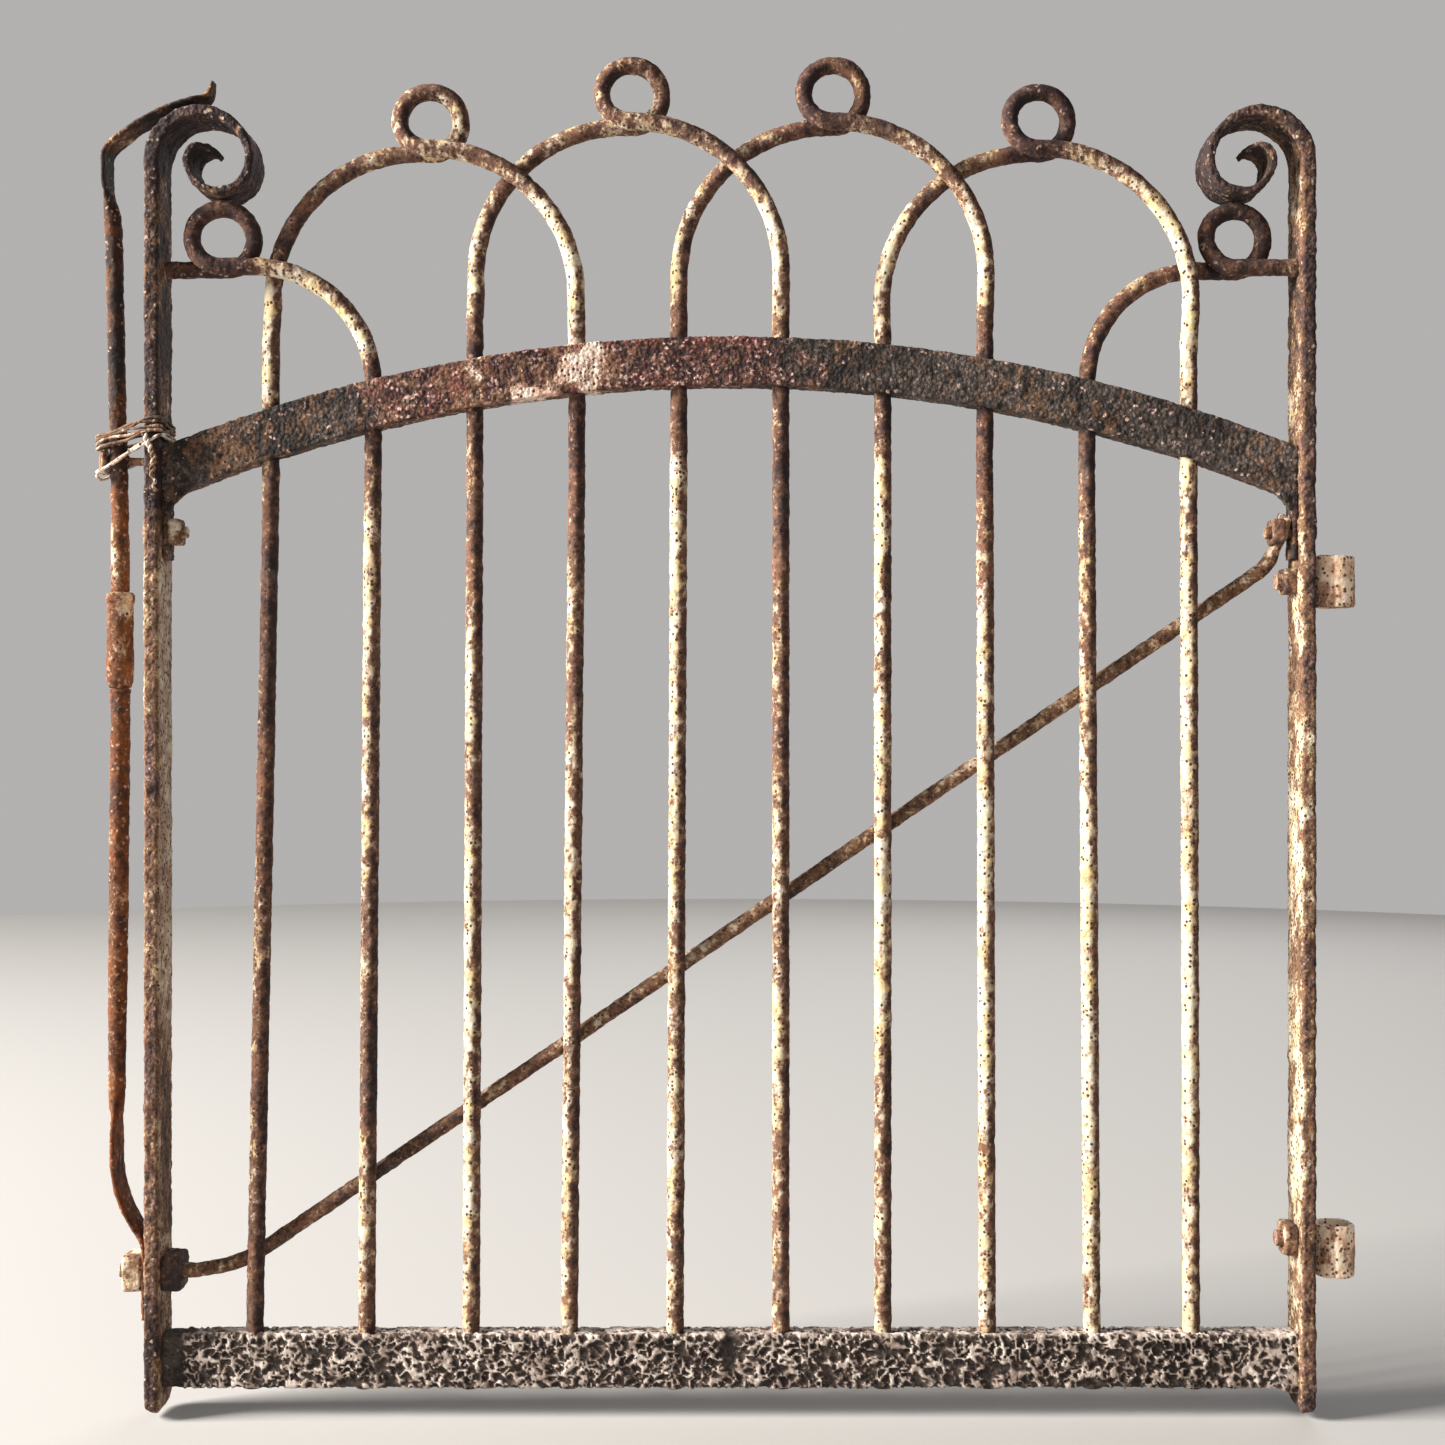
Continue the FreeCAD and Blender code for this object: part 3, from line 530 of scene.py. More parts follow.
class Nodes:
    """A short way to write a node tree: each method adds one node and returns its output."""

    def __init__(self, tree: bpy.types.NodeTree) -> None:
        """Write into this tree."""
        self.tree = tree

    def add(self, kind: str, **settings: object) -> bpy.types.Node:
        """Add a node and set its properties."""
        node = self.tree.nodes.new(kind)
        for name, value in settings.items():
            setattr(node, name, value)
        return node

    def feed(self, socket: bpy.types.NodeSocket, value: object) -> None:
        """Link an output to a socket, or set the socket to a plain value."""
        if isinstance(value, bpy.types.NodeSocket):
            self.tree.links.new(value, socket)
        else:
            socket.default_value = value

    def math(self, operation: str, *values: object, clamp: bool = False) -> bpy.types.NodeSocket:
        """One step of arithmetic."""
        node = self.add("ShaderNodeMath", operation=operation, use_clamp=clamp)
        for socket, value in zip(node.inputs, values):
            self.feed(socket, value)
        return node.outputs[0]

    def mix(self, factor: object, first: object, second: object,
            blend: str = "MIX") -> bpy.types.NodeSocket:
        """A mix of two colours."""
        node = self.add("ShaderNodeMix", data_type="RGBA", blend_type=blend)
        for index, value in ((0, factor), (6, first), (7, second)):
            self.feed(node.inputs[index], value)
        return node.outputs[2]

    def ramp(self, value: object, low: object, high: object) -> bpy.types.NodeSocket:
        """0 below low and 1 above high, smoothly."""
        node = self.add("ShaderNodeMapRange", interpolation_type="SMOOTHSTEP")
        for index, part in ((0, value), (1, low), (2, high)):
            self.feed(node.inputs[index], part)
        return node.outputs[0]

    def noise(self, place: object, scale: float, detail: float = 3.0,
              rough: float = 0.6) -> bpy.types.NodeSocket:
        """Noise from 0 to 1; scale is in lumps for each metre."""
        node = self.add("ShaderNodeTexNoise")
        self.feed(node.inputs["Vector"], place)
        node.inputs["Scale"].default_value = scale
        node.inputs["Detail"].default_value = detail
        node.inputs["Roughness"].default_value = rough
        return node.outputs[0]

    def grains(self, place: object, scale: float) -> bpy.types.Node:
        """Cells for specks and grains."""
        node = self.add("ShaderNodeTexVoronoi")
        self.feed(node.inputs["Vector"], place)
        node.inputs["Scale"].default_value = scale
        return node


def new_group(name: str, inputs: dict[str, str],
              outputs: dict[str, str]) -> tuple[bpy.types.NodeTree, Nodes, dict, dict]:
    """A shader group with named sockets.

    Returns:
        The tree, a writer for it, its inputs as outputs of the input node, and the sockets of
        the output node, by name.
    """
    tree = bpy.data.node_groups.new(name, "ShaderNodeTree")
    kinds = {"value": "NodeSocketFloat", "colour": "NodeSocketColor", "place": "NodeSocketVector"}
    for socket, kind in inputs.items():
        tree.interface.new_socket(name=socket, in_out="INPUT", socket_type=kinds[kind])
    for socket, kind in outputs.items():
        tree.interface.new_socket(name=socket, in_out="OUTPUT", socket_type=kinds[kind])
    writer = Nodes(tree)
    start = writer.add("NodeGroupInput")
    end = writer.add("NodeGroupOutput")
    return tree, writer, dict(start.outputs.items()), dict(end.inputs.items())


def rust_group() -> bpy.types.NodeTree:
    """Bare rust: dark scale, red-brown and orange bloom, dusty grains and shaded pits.

    Tone plus noise picks dark or bright, and hue plus noise picks grey-brown or red. Low relief
    darkens the colour, small cells add pale grains on raised relief, most of them on red rust, and
    the seams between pebbles are dark. The grains are dust and also a painted highlight on the
    raised pebbles.
    """
    tree, make, given, result = new_group(
        "rusted iron",
        {"Place": "place", "Tone": "value", "Relief": "value", "Hue": "value",
         "Grey dark": "colour", "Grey light": "colour", "Red dark": "colour",
         "Red light": "colour", "Dust": "colour", "Dust share": "value", "Pebble": "value"},
        {"Colour": "colour", "Height": "value"},
    )
    coarse = make.noise(given["Place"], 160, 4)
    fine = make.noise(given["Place"], 620, 3, 0.7)
    grain = make.grains(given["Place"], 480)
    pebble = make.grains(given["Place"], 330)
    grain_pick = make.add("ShaderNodeSeparateColor")
    make.feed(grain_pick.inputs[0], grain.outputs["Color"])
    lively = make.math("ADD", make.math("MULTIPLY", coarse, 0.9), make.math("MULTIPLY", fine, 0.8))
    level = make.math("ADD", given["Tone"], make.math("SUBTRACT", lively, 0.85))
    bright = make.ramp(level, 0.15, 0.95)
    red = make.ramp(make.math("ADD", given["Hue"], make.math("SUBTRACT", coarse, 0.5)), 0.25, 0.75)
    dark_colour = make.mix(red, given["Grey dark"], given["Red dark"])
    light_colour = make.mix(red, given["Grey light"], given["Red light"])
    colour = make.mix(bright, dark_colour, light_colour)
    share = make.math("MULTIPLY", given["Dust share"],
                      make.math("MULTIPLY_ADD", red, 0.75, 0.25))
    # Pale grains on raised relief: dust, and a painted highlight where pebbles would catch the light.
    dust_and_highlight = make.math("GREATER_THAN", grain_pick.outputs[0], make.math("SUBTRACT", 1.0, share))
    raised = make.ramp(given["Relief"], 0.45, 0.75)
    dust_and_highlight = make.math("MULTIPLY", dust_and_highlight, make.math("MULTIPLY", raised, 0.8))
    colour = make.mix(dust_and_highlight, colour, given["Dust"])
    hollow = make.ramp(given["Relief"], 0.62, 0.25)
    colour = make.mix(make.math("MULTIPLY", hollow, 0.8), colour, given["Grey dark"])
    seam = make.math("MULTIPLY", make.ramp(pebble.outputs["Distance"], 0.40, 0.72), given["Pebble"])
    colour = make.mix(seam, colour, given["Grey dark"])
    height = make.math("SUBTRACT", make.math("MULTIPLY", fine, 0.6),
                       make.math("MULTIPLY", make.math("MULTIPLY", pebble.outputs["Distance"], 1.6),
                                 given["Pebble"]))
    make.feed(result["Colour"], colour)
    make.feed(result["Height"], height)
    return tree


def paint_group() -> bpy.types.NodeTree:
    """Old cream paint over a ground colour: chalky and yellowed patches, chips, stains, run-down.

    The paint field plus fine noise is cut at a half for the mask, and a band beside the cut is
    stained. Specks of ground show through where small cells are picked. Low relief stains the
    paint too: real stain in pits, and painted shade on the rods' sides turned from the key light.
    """
    tree, make, given, result = new_group(
        "flaking paint",
        {"Place": "place", "Paint": "value", "Relief": "value", "Ground": "colour",
         "Chalk": "colour", "Cream": "colour", "Stain": "colour", "Specks": "value"},
        {"Colour": "colour", "Mask": "value", "Height": "value"},
    )
    ragged = make.noise(given["Place"], 420, 4, 0.75)
    fine = make.noise(given["Place"], 1300, 2, 0.6)
    cloud = make.noise(given["Place"], 70, 4)
    cell = make.grains(given["Place"], 340)
    pick = make.add("ShaderNodeSeparateColor")
    make.feed(pick.inputs[0], cell.outputs["Color"])
    rough = make.math("ADD", make.math("MULTIPLY", ragged, 1.3), make.math("MULTIPLY", fine, 0.5))
    cut = make.math("ADD", given["Paint"], make.math("SUBTRACT", rough, 0.90))
    mask = make.ramp(cut, 0.46, 0.56)
    rim = make.ramp(cut, 0.02, 0.47)
    ground = make.mix(make.math("MULTIPLY", rim, 0.6), given["Ground"], given["Stain"])
    speck = make.math("LESS_THAN", pick.outputs[0], given["Specks"])
    inside = make.ramp(cell.outputs["Distance"], 0.5, 0.3)
    speck = make.math("MULTIPLY", speck, inside)
    ground = make.mix(make.math("MULTIPLY", speck, 0.7), ground, linear(0.15, 0.09, 0.07))
    mask = make.math("MULTIPLY", mask, make.math("SUBTRACT", 1.0, speck))
    yellow = make.ramp(make.math("ADD", make.math("MULTIPLY", cloud, 0.7),
                                 make.math("MULTIPLY", ragged, 0.3)), 0.4, 0.62)
    colour = make.mix(yellow, given["Chalk"], given["Cream"])
    near_edge = make.ramp(cut, 1.0, 0.5)
    colour = make.mix(make.math("MULTIPLY", near_edge, 0.8), colour, given["Stain"])
    # Stain from low relief: real in pits, painted shade where the relief was lowered on a side turned
    # from the key light.
    stain_and_shade = make.ramp(given["Relief"], 0.56, 0.3)
    colour = make.mix(make.math("MULTIPLY", stain_and_shade, 0.8), colour, given["Stain"])
    make.feed(result["Colour"], make.mix(mask, ground, colour))
    make.feed(result["Mask"], mask)
    make.feed(result["Height"], make.math("ADD", make.math("MULTIPLY", mask, 0.5),
                                          make.math("MULTIPLY", ragged, 0.4)))
    return tree


@dataclass(frozen=True)
class Finish:
    """One finish of old iron, as display colours, for one material slot of the record."""

    slot: str
    grey_dark: Rgb = (0.17, 0.12, 0.11)
    grey_light: Rgb = (0.40, 0.33, 0.29)
    red_dark: Rgb = (0.22, 0.12, 0.09)
    red_light: Rgb = (0.57, 0.41, 0.28)
    dust: Rgb = (0.72, 0.60, 0.52)
    chalk: Rgb = (0.86, 0.82, 0.74)
    cream: Rgb = (0.86, 0.75, 0.53)
    stain: Rgb = (0.56, 0.40, 0.27)
    dust_share: float = 0.12
    specks: float = 0.16
    rust_roughness: float = 0.9
    paint_roughness: float = 0.6
    bump: float = 0.0007
    pebble: float = 0.35

    def material(self, rust: bpy.types.NodeTree, paint: bpy.types.NodeTree) -> bpy.types.Material:
        """Build the material from the two shared groups.

        Args:
            rust: the group that gives bare rust.
            paint: the group that lays paint over it.

        Returns:
            The material, named after its slot.
        """
        material = bpy.data.materials.new(self.slot)
        material.use_nodes = True
        tree = material.node_tree
        tree.nodes.clear()
        make = Nodes(tree)
        place = make.add("ShaderNodeTexCoord").outputs["Object"]
        weather = make.add("ShaderNodeAttribute", attribute_name="weather")
        parts = make.add("ShaderNodeSeparateColor")
        make.feed(parts.inputs[0], weather.outputs["Color"])
        ground = make.add("ShaderNodeGroup", node_tree=rust)
        for name, value in {
            "Place": place, "Tone": parts.outputs[1], "Relief": parts.outputs[2],
            "Hue": weather.outputs["Alpha"], "Grey dark": linear(*self.grey_dark),
            "Grey light": linear(*self.grey_light), "Red dark": linear(*self.red_dark),
            "Red light": linear(*self.red_light), "Dust": linear(*self.dust),
            "Dust share": self.dust_share, "Pebble": self.pebble,
        }.items():
            make.feed(ground.inputs[name], value)
        coat = make.add("ShaderNodeGroup", node_tree=paint)
        for name, value in {
            "Place": place, "Paint": parts.outputs[0], "Relief": parts.outputs[2],
            "Ground": ground.outputs["Colour"], "Chalk": linear(*self.chalk),
            "Cream": linear(*self.cream), "Stain": linear(*self.stain), "Specks": self.specks,
        }.items():
            make.feed(coat.inputs[name], value)
        surface = make.add("ShaderNodeBsdfPrincipled")
        make.feed(surface.inputs["Base Color"], coat.outputs["Colour"])
        sheen = self.paint_roughness - self.rust_roughness
        make.feed(surface.inputs["Roughness"],
                  make.math("MULTIPLY_ADD", coat.outputs["Mask"], sheen, self.rust_roughness))
        bump = make.add("ShaderNodeBump")
        bump.inputs["Strength"].default_value = 0.9
        bump.inputs["Distance"].default_value = self.bump
        make.feed(bump.inputs["Height"],
                  make.math("ADD", ground.outputs["Height"], coat.outputs["Height"]))
        make.feed(surface.inputs["Normal"], bump.outputs[0])
        output = make.add("ShaderNodeOutputMaterial")
        make.feed(output.inputs["Surface"], surface.outputs[0])
        return material


FINISHES = (
    Finish("painted_rod", grey_dark=(0.15, 0.10, 0.10), red_dark=(0.21, 0.11, 0.10),
           red_light=(0.53, 0.36, 0.27), stain=(0.50, 0.34, 0.25), specks=0.26),
    Finish("stile_iron", grey_dark=(0.16, 0.10, 0.10), grey_light=(0.42, 0.31, 0.28),
           red_light=(0.56, 0.41, 0.31), cream=(0.84, 0.75, 0.56),
           dust_share=0.30, dust=(0.76, 0.66, 0.56), specks=0.30, pebble=0.6, bump=0.0011),
    Finish("rail_iron", grey_dark=(0.13, 0.10, 0.09), grey_light=(0.42, 0.37, 0.34),
           red_dark=(0.20, 0.09, 0.09), red_light=(0.52, 0.28, 0.25), dust=(0.92, 0.76, 0.70),
           chalk=(0.95, 0.88, 0.82), cream=(0.84, 0.66, 0.58), dust_share=0.26, specks=0.34,
           pebble=0.65, bump=0.0018),
    Finish("pitted_rail", grey_dark=(0.11, 0.08, 0.07), grey_light=(0.31, 0.27, 0.24),
           red_dark=(0.16, 0.11, 0.09), red_light=(0.36, 0.28, 0.24), dust=(0.62, 0.54, 0.48),
           chalk=(0.90, 0.84, 0.79), cream=(0.58, 0.50, 0.45), stain=(0.38, 0.31, 0.27),
           dust_share=0.10, specks=0.22, pebble=0.3, bump=0.0012),
    Finish("brace_iron", red_light=(0.50, 0.33, 0.25), cream=(0.82, 0.72, 0.58), dust_share=0.2,
           pebble=0.5),
    Finish("fastener_iron", grey_light=(0.42, 0.32, 0.27), red_light=(0.60, 0.42, 0.32),
           cream=(0.86, 0.74, 0.60), pebble=0.45),
    # The pale hinge_iron colours are painted light: they make up for the shadow that the hinge stile
    # casts on the hinge eyes.
    Finish("hinge_iron", grey_dark=(0.34, 0.25, 0.21), grey_light=(0.80, 0.66, 0.56),
           red_dark=(0.42, 0.28, 0.22), red_light=(0.88, 0.70, 0.58), chalk=(1.0, 0.93, 0.83),
           cream=(1.0, 0.84, 0.69), stain=(0.76, 0.55, 0.42), specks=0.46, pebble=0.5),
    Finish("latch_iron", grey_dark=(0.13, 0.09, 0.08), grey_light=(0.33, 0.22, 0.17),
           red_dark=(0.22, 0.10, 0.04), red_light=(0.49, 0.26, 0.08), cream=(0.84, 0.69, 0.49),
           stain=(0.48, 0.28, 0.13), pebble=0.4),
    Finish("binding_wire", red_light=(0.58, 0.44, 0.34), chalk=(0.92, 0.89, 0.85),
           cream=(0.84, 0.76, 0.66), specks=0.1),
)


class Workshop:
    """Holds the finished materials and sets each piece on its body."""

    def __init__(self) -> None:
        """Build the shared groups, every finish and its material."""
        rust, paint = rust_group(), paint_group()
        self.materials = {finish.slot: finish.material(rust, paint) for finish in FINISHES}

    def dress(self, piece: bpy.types.Object, slot: str, nodes: list[str],
              body: Body | None = Body.GATE) -> None:
        """Give a piece its material and its place in the model.

        Args:
            piece: the new object.
            slot: the record's material slot.
            nodes: the CAD nodes that it stands for.
            body: what it rides on, or None to leave it unattached.
        """
        piece.data.materials.append(self.materials[slot])
        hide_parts(*nodes)
        if body is not None:
            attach(piece, body.value)
        LOG.info("%s: %d faces", piece.name, len(piece.data.polygons))


def leftness(shell: Shell) -> Array:
    """How far the surface faces the latch side, where the key light stands, from -1 to 1; many pieces
    use it to paint light and shade by side.
    """
    return -shell.normals()[..., 0]


# ---------------------------------------------------------------- pickets


@dataclass(frozen=True)
class Leg:
    """One picket: how far its foot has settled sideways, and how much paint is left.

    paint lists (height above the stiles' feet, coverage) from the foot up.
    """

    foot_shift: float
    paint: tuple[tuple[float, float], ...]

    def cover(self, heights: Array) -> Array:
        """The paint left at some heights."""
        levels, amounts = zip(*self.paint)
        return np.interp(heights, levels, amounts)


LEGS = (
    # Leg 0's low paint is partly its own rust and partly a painted shadow of the latch stile.
    Leg(-0.013, ((0.02, 0.1), (0.12, 0.1), (0.17, 0.4), (0.30, 0.46), (0.37, 0.4), (0.46, 0.2),
                 (0.58, 0.2), (0.64, 0.35), (0.70, 0.35), (0.74, 0.1), (0.76, 0.9), (0.835, 0.9),
                 (0.85, 0.3))),
    Leg(-0.005, ((0.02, 0.4), (0.20, 0.5), (0.45, 0.5), (0.60, 0.7), (0.66, 0.65),
                 (0.70, 0.1), (0.78, 0.1), (0.80, 0.7))),
    Leg(-0.003, ((0.02, 0.55), (0.25, 0.75), (0.46, 0.7), (0.58, 0.55), (0.66, 0.3), (0.73, 0.2),
                 (0.79, 0.25), (0.84, 0.8))),
    Leg(-0.006, ((0.02, 0.5), (0.20, 0.7), (0.50, 0.55), (0.62, 0.45), (0.70, 0.15), (0.76, 0.15),
                 (0.80, 0.6), (0.84, 0.8))),
    Leg(-0.003, ((0.02, 0.6), (0.20, 0.65), (0.50, 0.7), (0.64, 0.75), (0.70, 0.75), (0.72, 0.1),
                 (0.80, 0.2), (0.84, 0.8))),
    Leg(0.0, ((0.02, 0.45), (0.20, 0.65), (0.50, 0.6), (0.64, 0.35), (0.74, 0.15), (0.79, 0.3),
              (0.85, 0.8))),
    Leg(0.0, ((0.02, 0.6), (0.20, 0.7), (0.50, 0.75), (0.66, 0.75), (0.71, 0.6), (0.735, 0.1),
              (0.79, 0.3), (0.84, 0.7))),
    Leg(0.002, ((0.02, 0.6), (0.30, 0.75), (0.55, 0.75), (0.62, 0.45), (0.73, 0.2), (0.79, 0.25),
                (0.84, 0.8))),
    Leg(0.004, ((0.02, 0.6), (0.30, 0.8), (0.55, 0.65), (0.66, 0.5), (0.71, 0.2), (0.80, 0.3))),
    Leg(0.002, ((0.02, 0.7), (0.40, 0.9), (0.60, 0.8), (0.68, 0.6), (0.73, 0.7), (0.86, 0.85))),
)


@dataclass
class Pickets:
    """The hairpin rods: every picket, arch and crown ring."""

    pitch: float = 0.0762
    radius: float = 0.00635
    foot_level: float = 0.020
    arch_radius: float = 1.127
    arch_crown: float = 0.802
    lean_start: float = 0.060
    lean_radius: float = 0.9
    strand: float = 0.0072
    outer_strand: float = 0.0104
    stub_strand: float = 0.0040
    bow_radius: float = 0.1143
    ring_radius: float = 0.0219
    half_level: float = 0.854
    half_ring: float = 0.378
    half_bow_radius: float = 0.086
    shoulder: float = 0.4219
    step: float = 0.0011
    around: int = 24
    corrosion: Corrosion = Corrosion()

    def picket(self, index: int) -> float:
        """X of a picket at the top rail."""
        return (index - (PICKETS - 1) / 2) * self.pitch

    def rail_top(self, x: float) -> float:
        """The level of the arched rail's top."""
        return self.arch_crown - self.arch_radius + math.sqrt(self.arch_radius ** 2 - x * x)

    def leaning(self, index: int) -> list:
        """The route from a settled foot to the plumb part of a picket."""
        x = self.picket(index)
        foot = (x + LEGS[index].foot_shift, 0.0, self.foot_level)
        return [(foot, 0.0), ((x, 0.0, self.rail_top(x) - self.lean_start), self.lean_radius)]

    def crossing_leg(self, index: int, strand: float, springing: float) -> list:
        """A leg that bends gently off the picket plane above the rail, to pass its neighbour."""
        x = self.picket(index)
        start = max(springing - 0.044, self.rail_top(x) + 0.001)
        quarter = (springing - start) / 4
        turn = math.atan(abs(strand) / (2 * quarter))
        radius = 0.97 * quarter / math.tan(turn / 2)
        return self.leaning(index) + [((x, 0.0, start + quarter), radius),
                                      ((x, strand, springing - quarter), radius)]

    def ring(self, x: float, level: float, back: float, front: float) -> list:
        """The curl at a crown, from the back strand over to the front one."""
        middle = (back + front) / 2
        half = math.hypot(self.ring_radius, (back - middle) / 2)
        height = level + 2 * self.ring_radius
        radius = self.ring_radius * 0.99
        return [((x + half, back, level), radius), ((x + half, middle, height), radius),
                ((x - half, middle, height), radius), ((x - half, front, level), radius)]

    def coverage(self, line: Array, legs: tuple[int, int], crown: tuple[float, float],
                 ring_x: float, level: float) -> Array:
        """Paint along a rod: its legs' own lists, then the crown's arch and ring."""
        half = len(line) // 2
        cover = np.empty(len(line))
        for part, leg in ((slice(0, half), legs[0]), (slice(half, None), legs[1])):
            cover[part] = LEGS[leg].cover(line[part, 2])
        blend = ease(0.89, 0.93, line[:, 2])
        cover = cover * (1 - blend) + crown[0] * blend
        to_ring = np.hypot(line[:, 0] - ring_x, line[:, 2] - level - self.ring_radius)
        return cover + (crown[1] - cover) * ease(0.034, 0.027, to_ring)

    def rod(self, name: str, line: Array, cover: Array, seed: int, ring: Array,
            feet: list[int]) -> bpy.types.Object:
        """A round rod with its peened feet.

        The surface is a circle of the rod's radius carried along its line. The side that faces the
        latch and the key light keeps more paint and brighter rust, a painted light; the other side
        keeps less paint and is darkened, a painted shade.
        """
        profile = round_profile(self.around) * self.radius
        shell = Shell(rounded_ends(carried(line, profile, ALONG_Y), 0.001))
        extra = (shell.grid.shape[0] - len(line)) // 2
        facing = leftness(shell)
        along = np.pad(cover, extra, mode="edge")[:, None]
        # Painted light and shade: more paint on the side facing the key light, less on the side
        # turned from it.
        along = along * (1 - 0.42 * ease(0.15, -0.65, facing)) + 0.12 * facing
        near_ring = np.pad(ring, extra, mode="edge")[:, None]
        height = shell.grid[..., 2]
        under_rail = ease(0.075, 0.02, np.abs(height - self.rail_top(0.2) + 0.035))
        # The 0.1 * facing term brightens the rust on the side facing the key light: painted light.
        tone = 0.52 - 0.26 * near_ring - 0.3 * under_rail + 0.1 * facing
        hue = 0.55 + 0.1 * near_ring
        # The last argument darkens and stains the side turned from the key light: painted shade.
        shell.corrode(self.corrosion, along, tone, hue, seed, 0.2 * ease(0.4, -0.6, facing))
        shells = [shell]
        for index in feet:
            shells.append(self.peened_foot(index, seed + index))
        return make_piece(name, shells)

    def peened_foot(self, index: int, seed: int) -> Shell:
        """The riveted end of a picket under the bottom rail."""
        x = self.picket(index) + LEGS[index].foot_shift
        section = drawn_section([(0.0190, 0.0), (0.0190, 0.0078), (0.0214, 0.0083),
                                 (0.0218, 0.0)], 0.0006, 0.0007, closed=False)
        shell = Shell(turned(section, (x, 0.0, 0.0), ALONG_Z, 30))
        return shell.corrode(Corrosion(lump=0.0002, pit=0.0001), 0.1, 0.35, 0.4, seed)

    def build_hairpin(self, shop: Workshop, number: int, legs: tuple[int, int], level: float,
                      shift: float, crown: tuple[float, float]) -> None:
        """One full hairpin: up a leg at the back, round the ring and down at the front.

        crown is the paint left on its arch and on its ring.
        """
        left, right = legs
        middle = (self.picket(left) + self.picket(right)) / 2
        radius = self.bow_radius - abs(shift) - 0.0005
        springing = level - radius - 0.0002
        corners = self.crossing_leg(left, self.strand, springing)
        corners.append(((self.picket(left), self.strand, level), radius))
        corners += self.ring(middle + shift, level, self.strand, -self.strand)
        corners.append(((self.picket(right), -self.strand, level), radius))
        corners += reversed(self.crossing_leg(right, -self.strand, springing))
        line = bent_bar(corners, self.step)
        cover = self.coverage(line, legs, crown, middle + shift, level)
        ring = ease(0.05, 0.028, np.hypot(line[:, 0] - middle - shift,
                                          line[:, 2] - level - self.ring_radius))
        piece = self.rod(f"hairpin_rod_{number}", line, cover, 100 * number, ring, list(legs))
        shop.dress(piece, "painted_rod", [f"hairpin_{number}"])

    def build_half(self, shop: Workshop, side: Side, leg: int, arch: float) -> None:
        """Half a hairpin: a picket, a quarter arch and a ring, ending in the stile."""
        sign = side.value
        x = self.picket(leg)
        climb = self.leaning(leg) + [((x, 0.0, self.half_level), self.half_bow_radius)]
        stub = [((sign * self.shoulder, -sign * self.stub_strand, self.half_level), 0.0)]
        ring_x = sign * self.half_ring
        if side is Side.LATCH:
            ring = self.ring(ring_x, self.half_level, self.stub_strand, -self.outer_strand)
            corners = stub + ring + list(reversed(climb))
        else:
            ring = self.ring(ring_x, self.half_level, self.outer_strand, -self.stub_strand)
            corners = climb + ring + stub
        line = bent_bar(corners, self.step)
        cover = LEGS[leg].cover(line[:, 2])
        bow = np.where(np.abs(line[:, 0]) > self.half_ring + self.ring_radius, 0.35, arch)
        cover = np.where(line[:, 2] > 0.82, bow, cover)
        to_ring = np.hypot(line[:, 0] - ring_x, line[:, 2] - self.half_level - self.ring_radius)
        cover = cover + (0.05 - cover) * ease(0.034, 0.027, to_ring)
        near = ease(0.05, 0.028, to_ring)
        piece = self.rod(f"half_hairpin_rod_{side.word}", line, cover, 700 + leg, near, [leg])
        shop.dress(piece, "painted_rod", [f"half_hairpin_{side.word}"])

    def build(self, shop: Workshop) -> None:
        """Build the four hairpins and the two halves."""
        self.build_hairpin(shop, 1, (0, 3), 0.942, 0.005, (0.34, 0.48))
        self.build_hairpin(shop, 2, (2, 5), 0.962, 0.003, (0.46, 0.38))
        self.build_hairpin(shop, 3, (4, 7), 0.962, 0.001, (0.44, 0.20))
        self.build_hairpin(shop, 4, (6, 9), 0.942, 0.002, (0.55, 0.12))
        self.build_half(shop, Side.LATCH, 1, 0.75)
        self.build_half(shop, Side.HINGE, 8, 0.42)


# ---------------------------------------------------------------- stiles


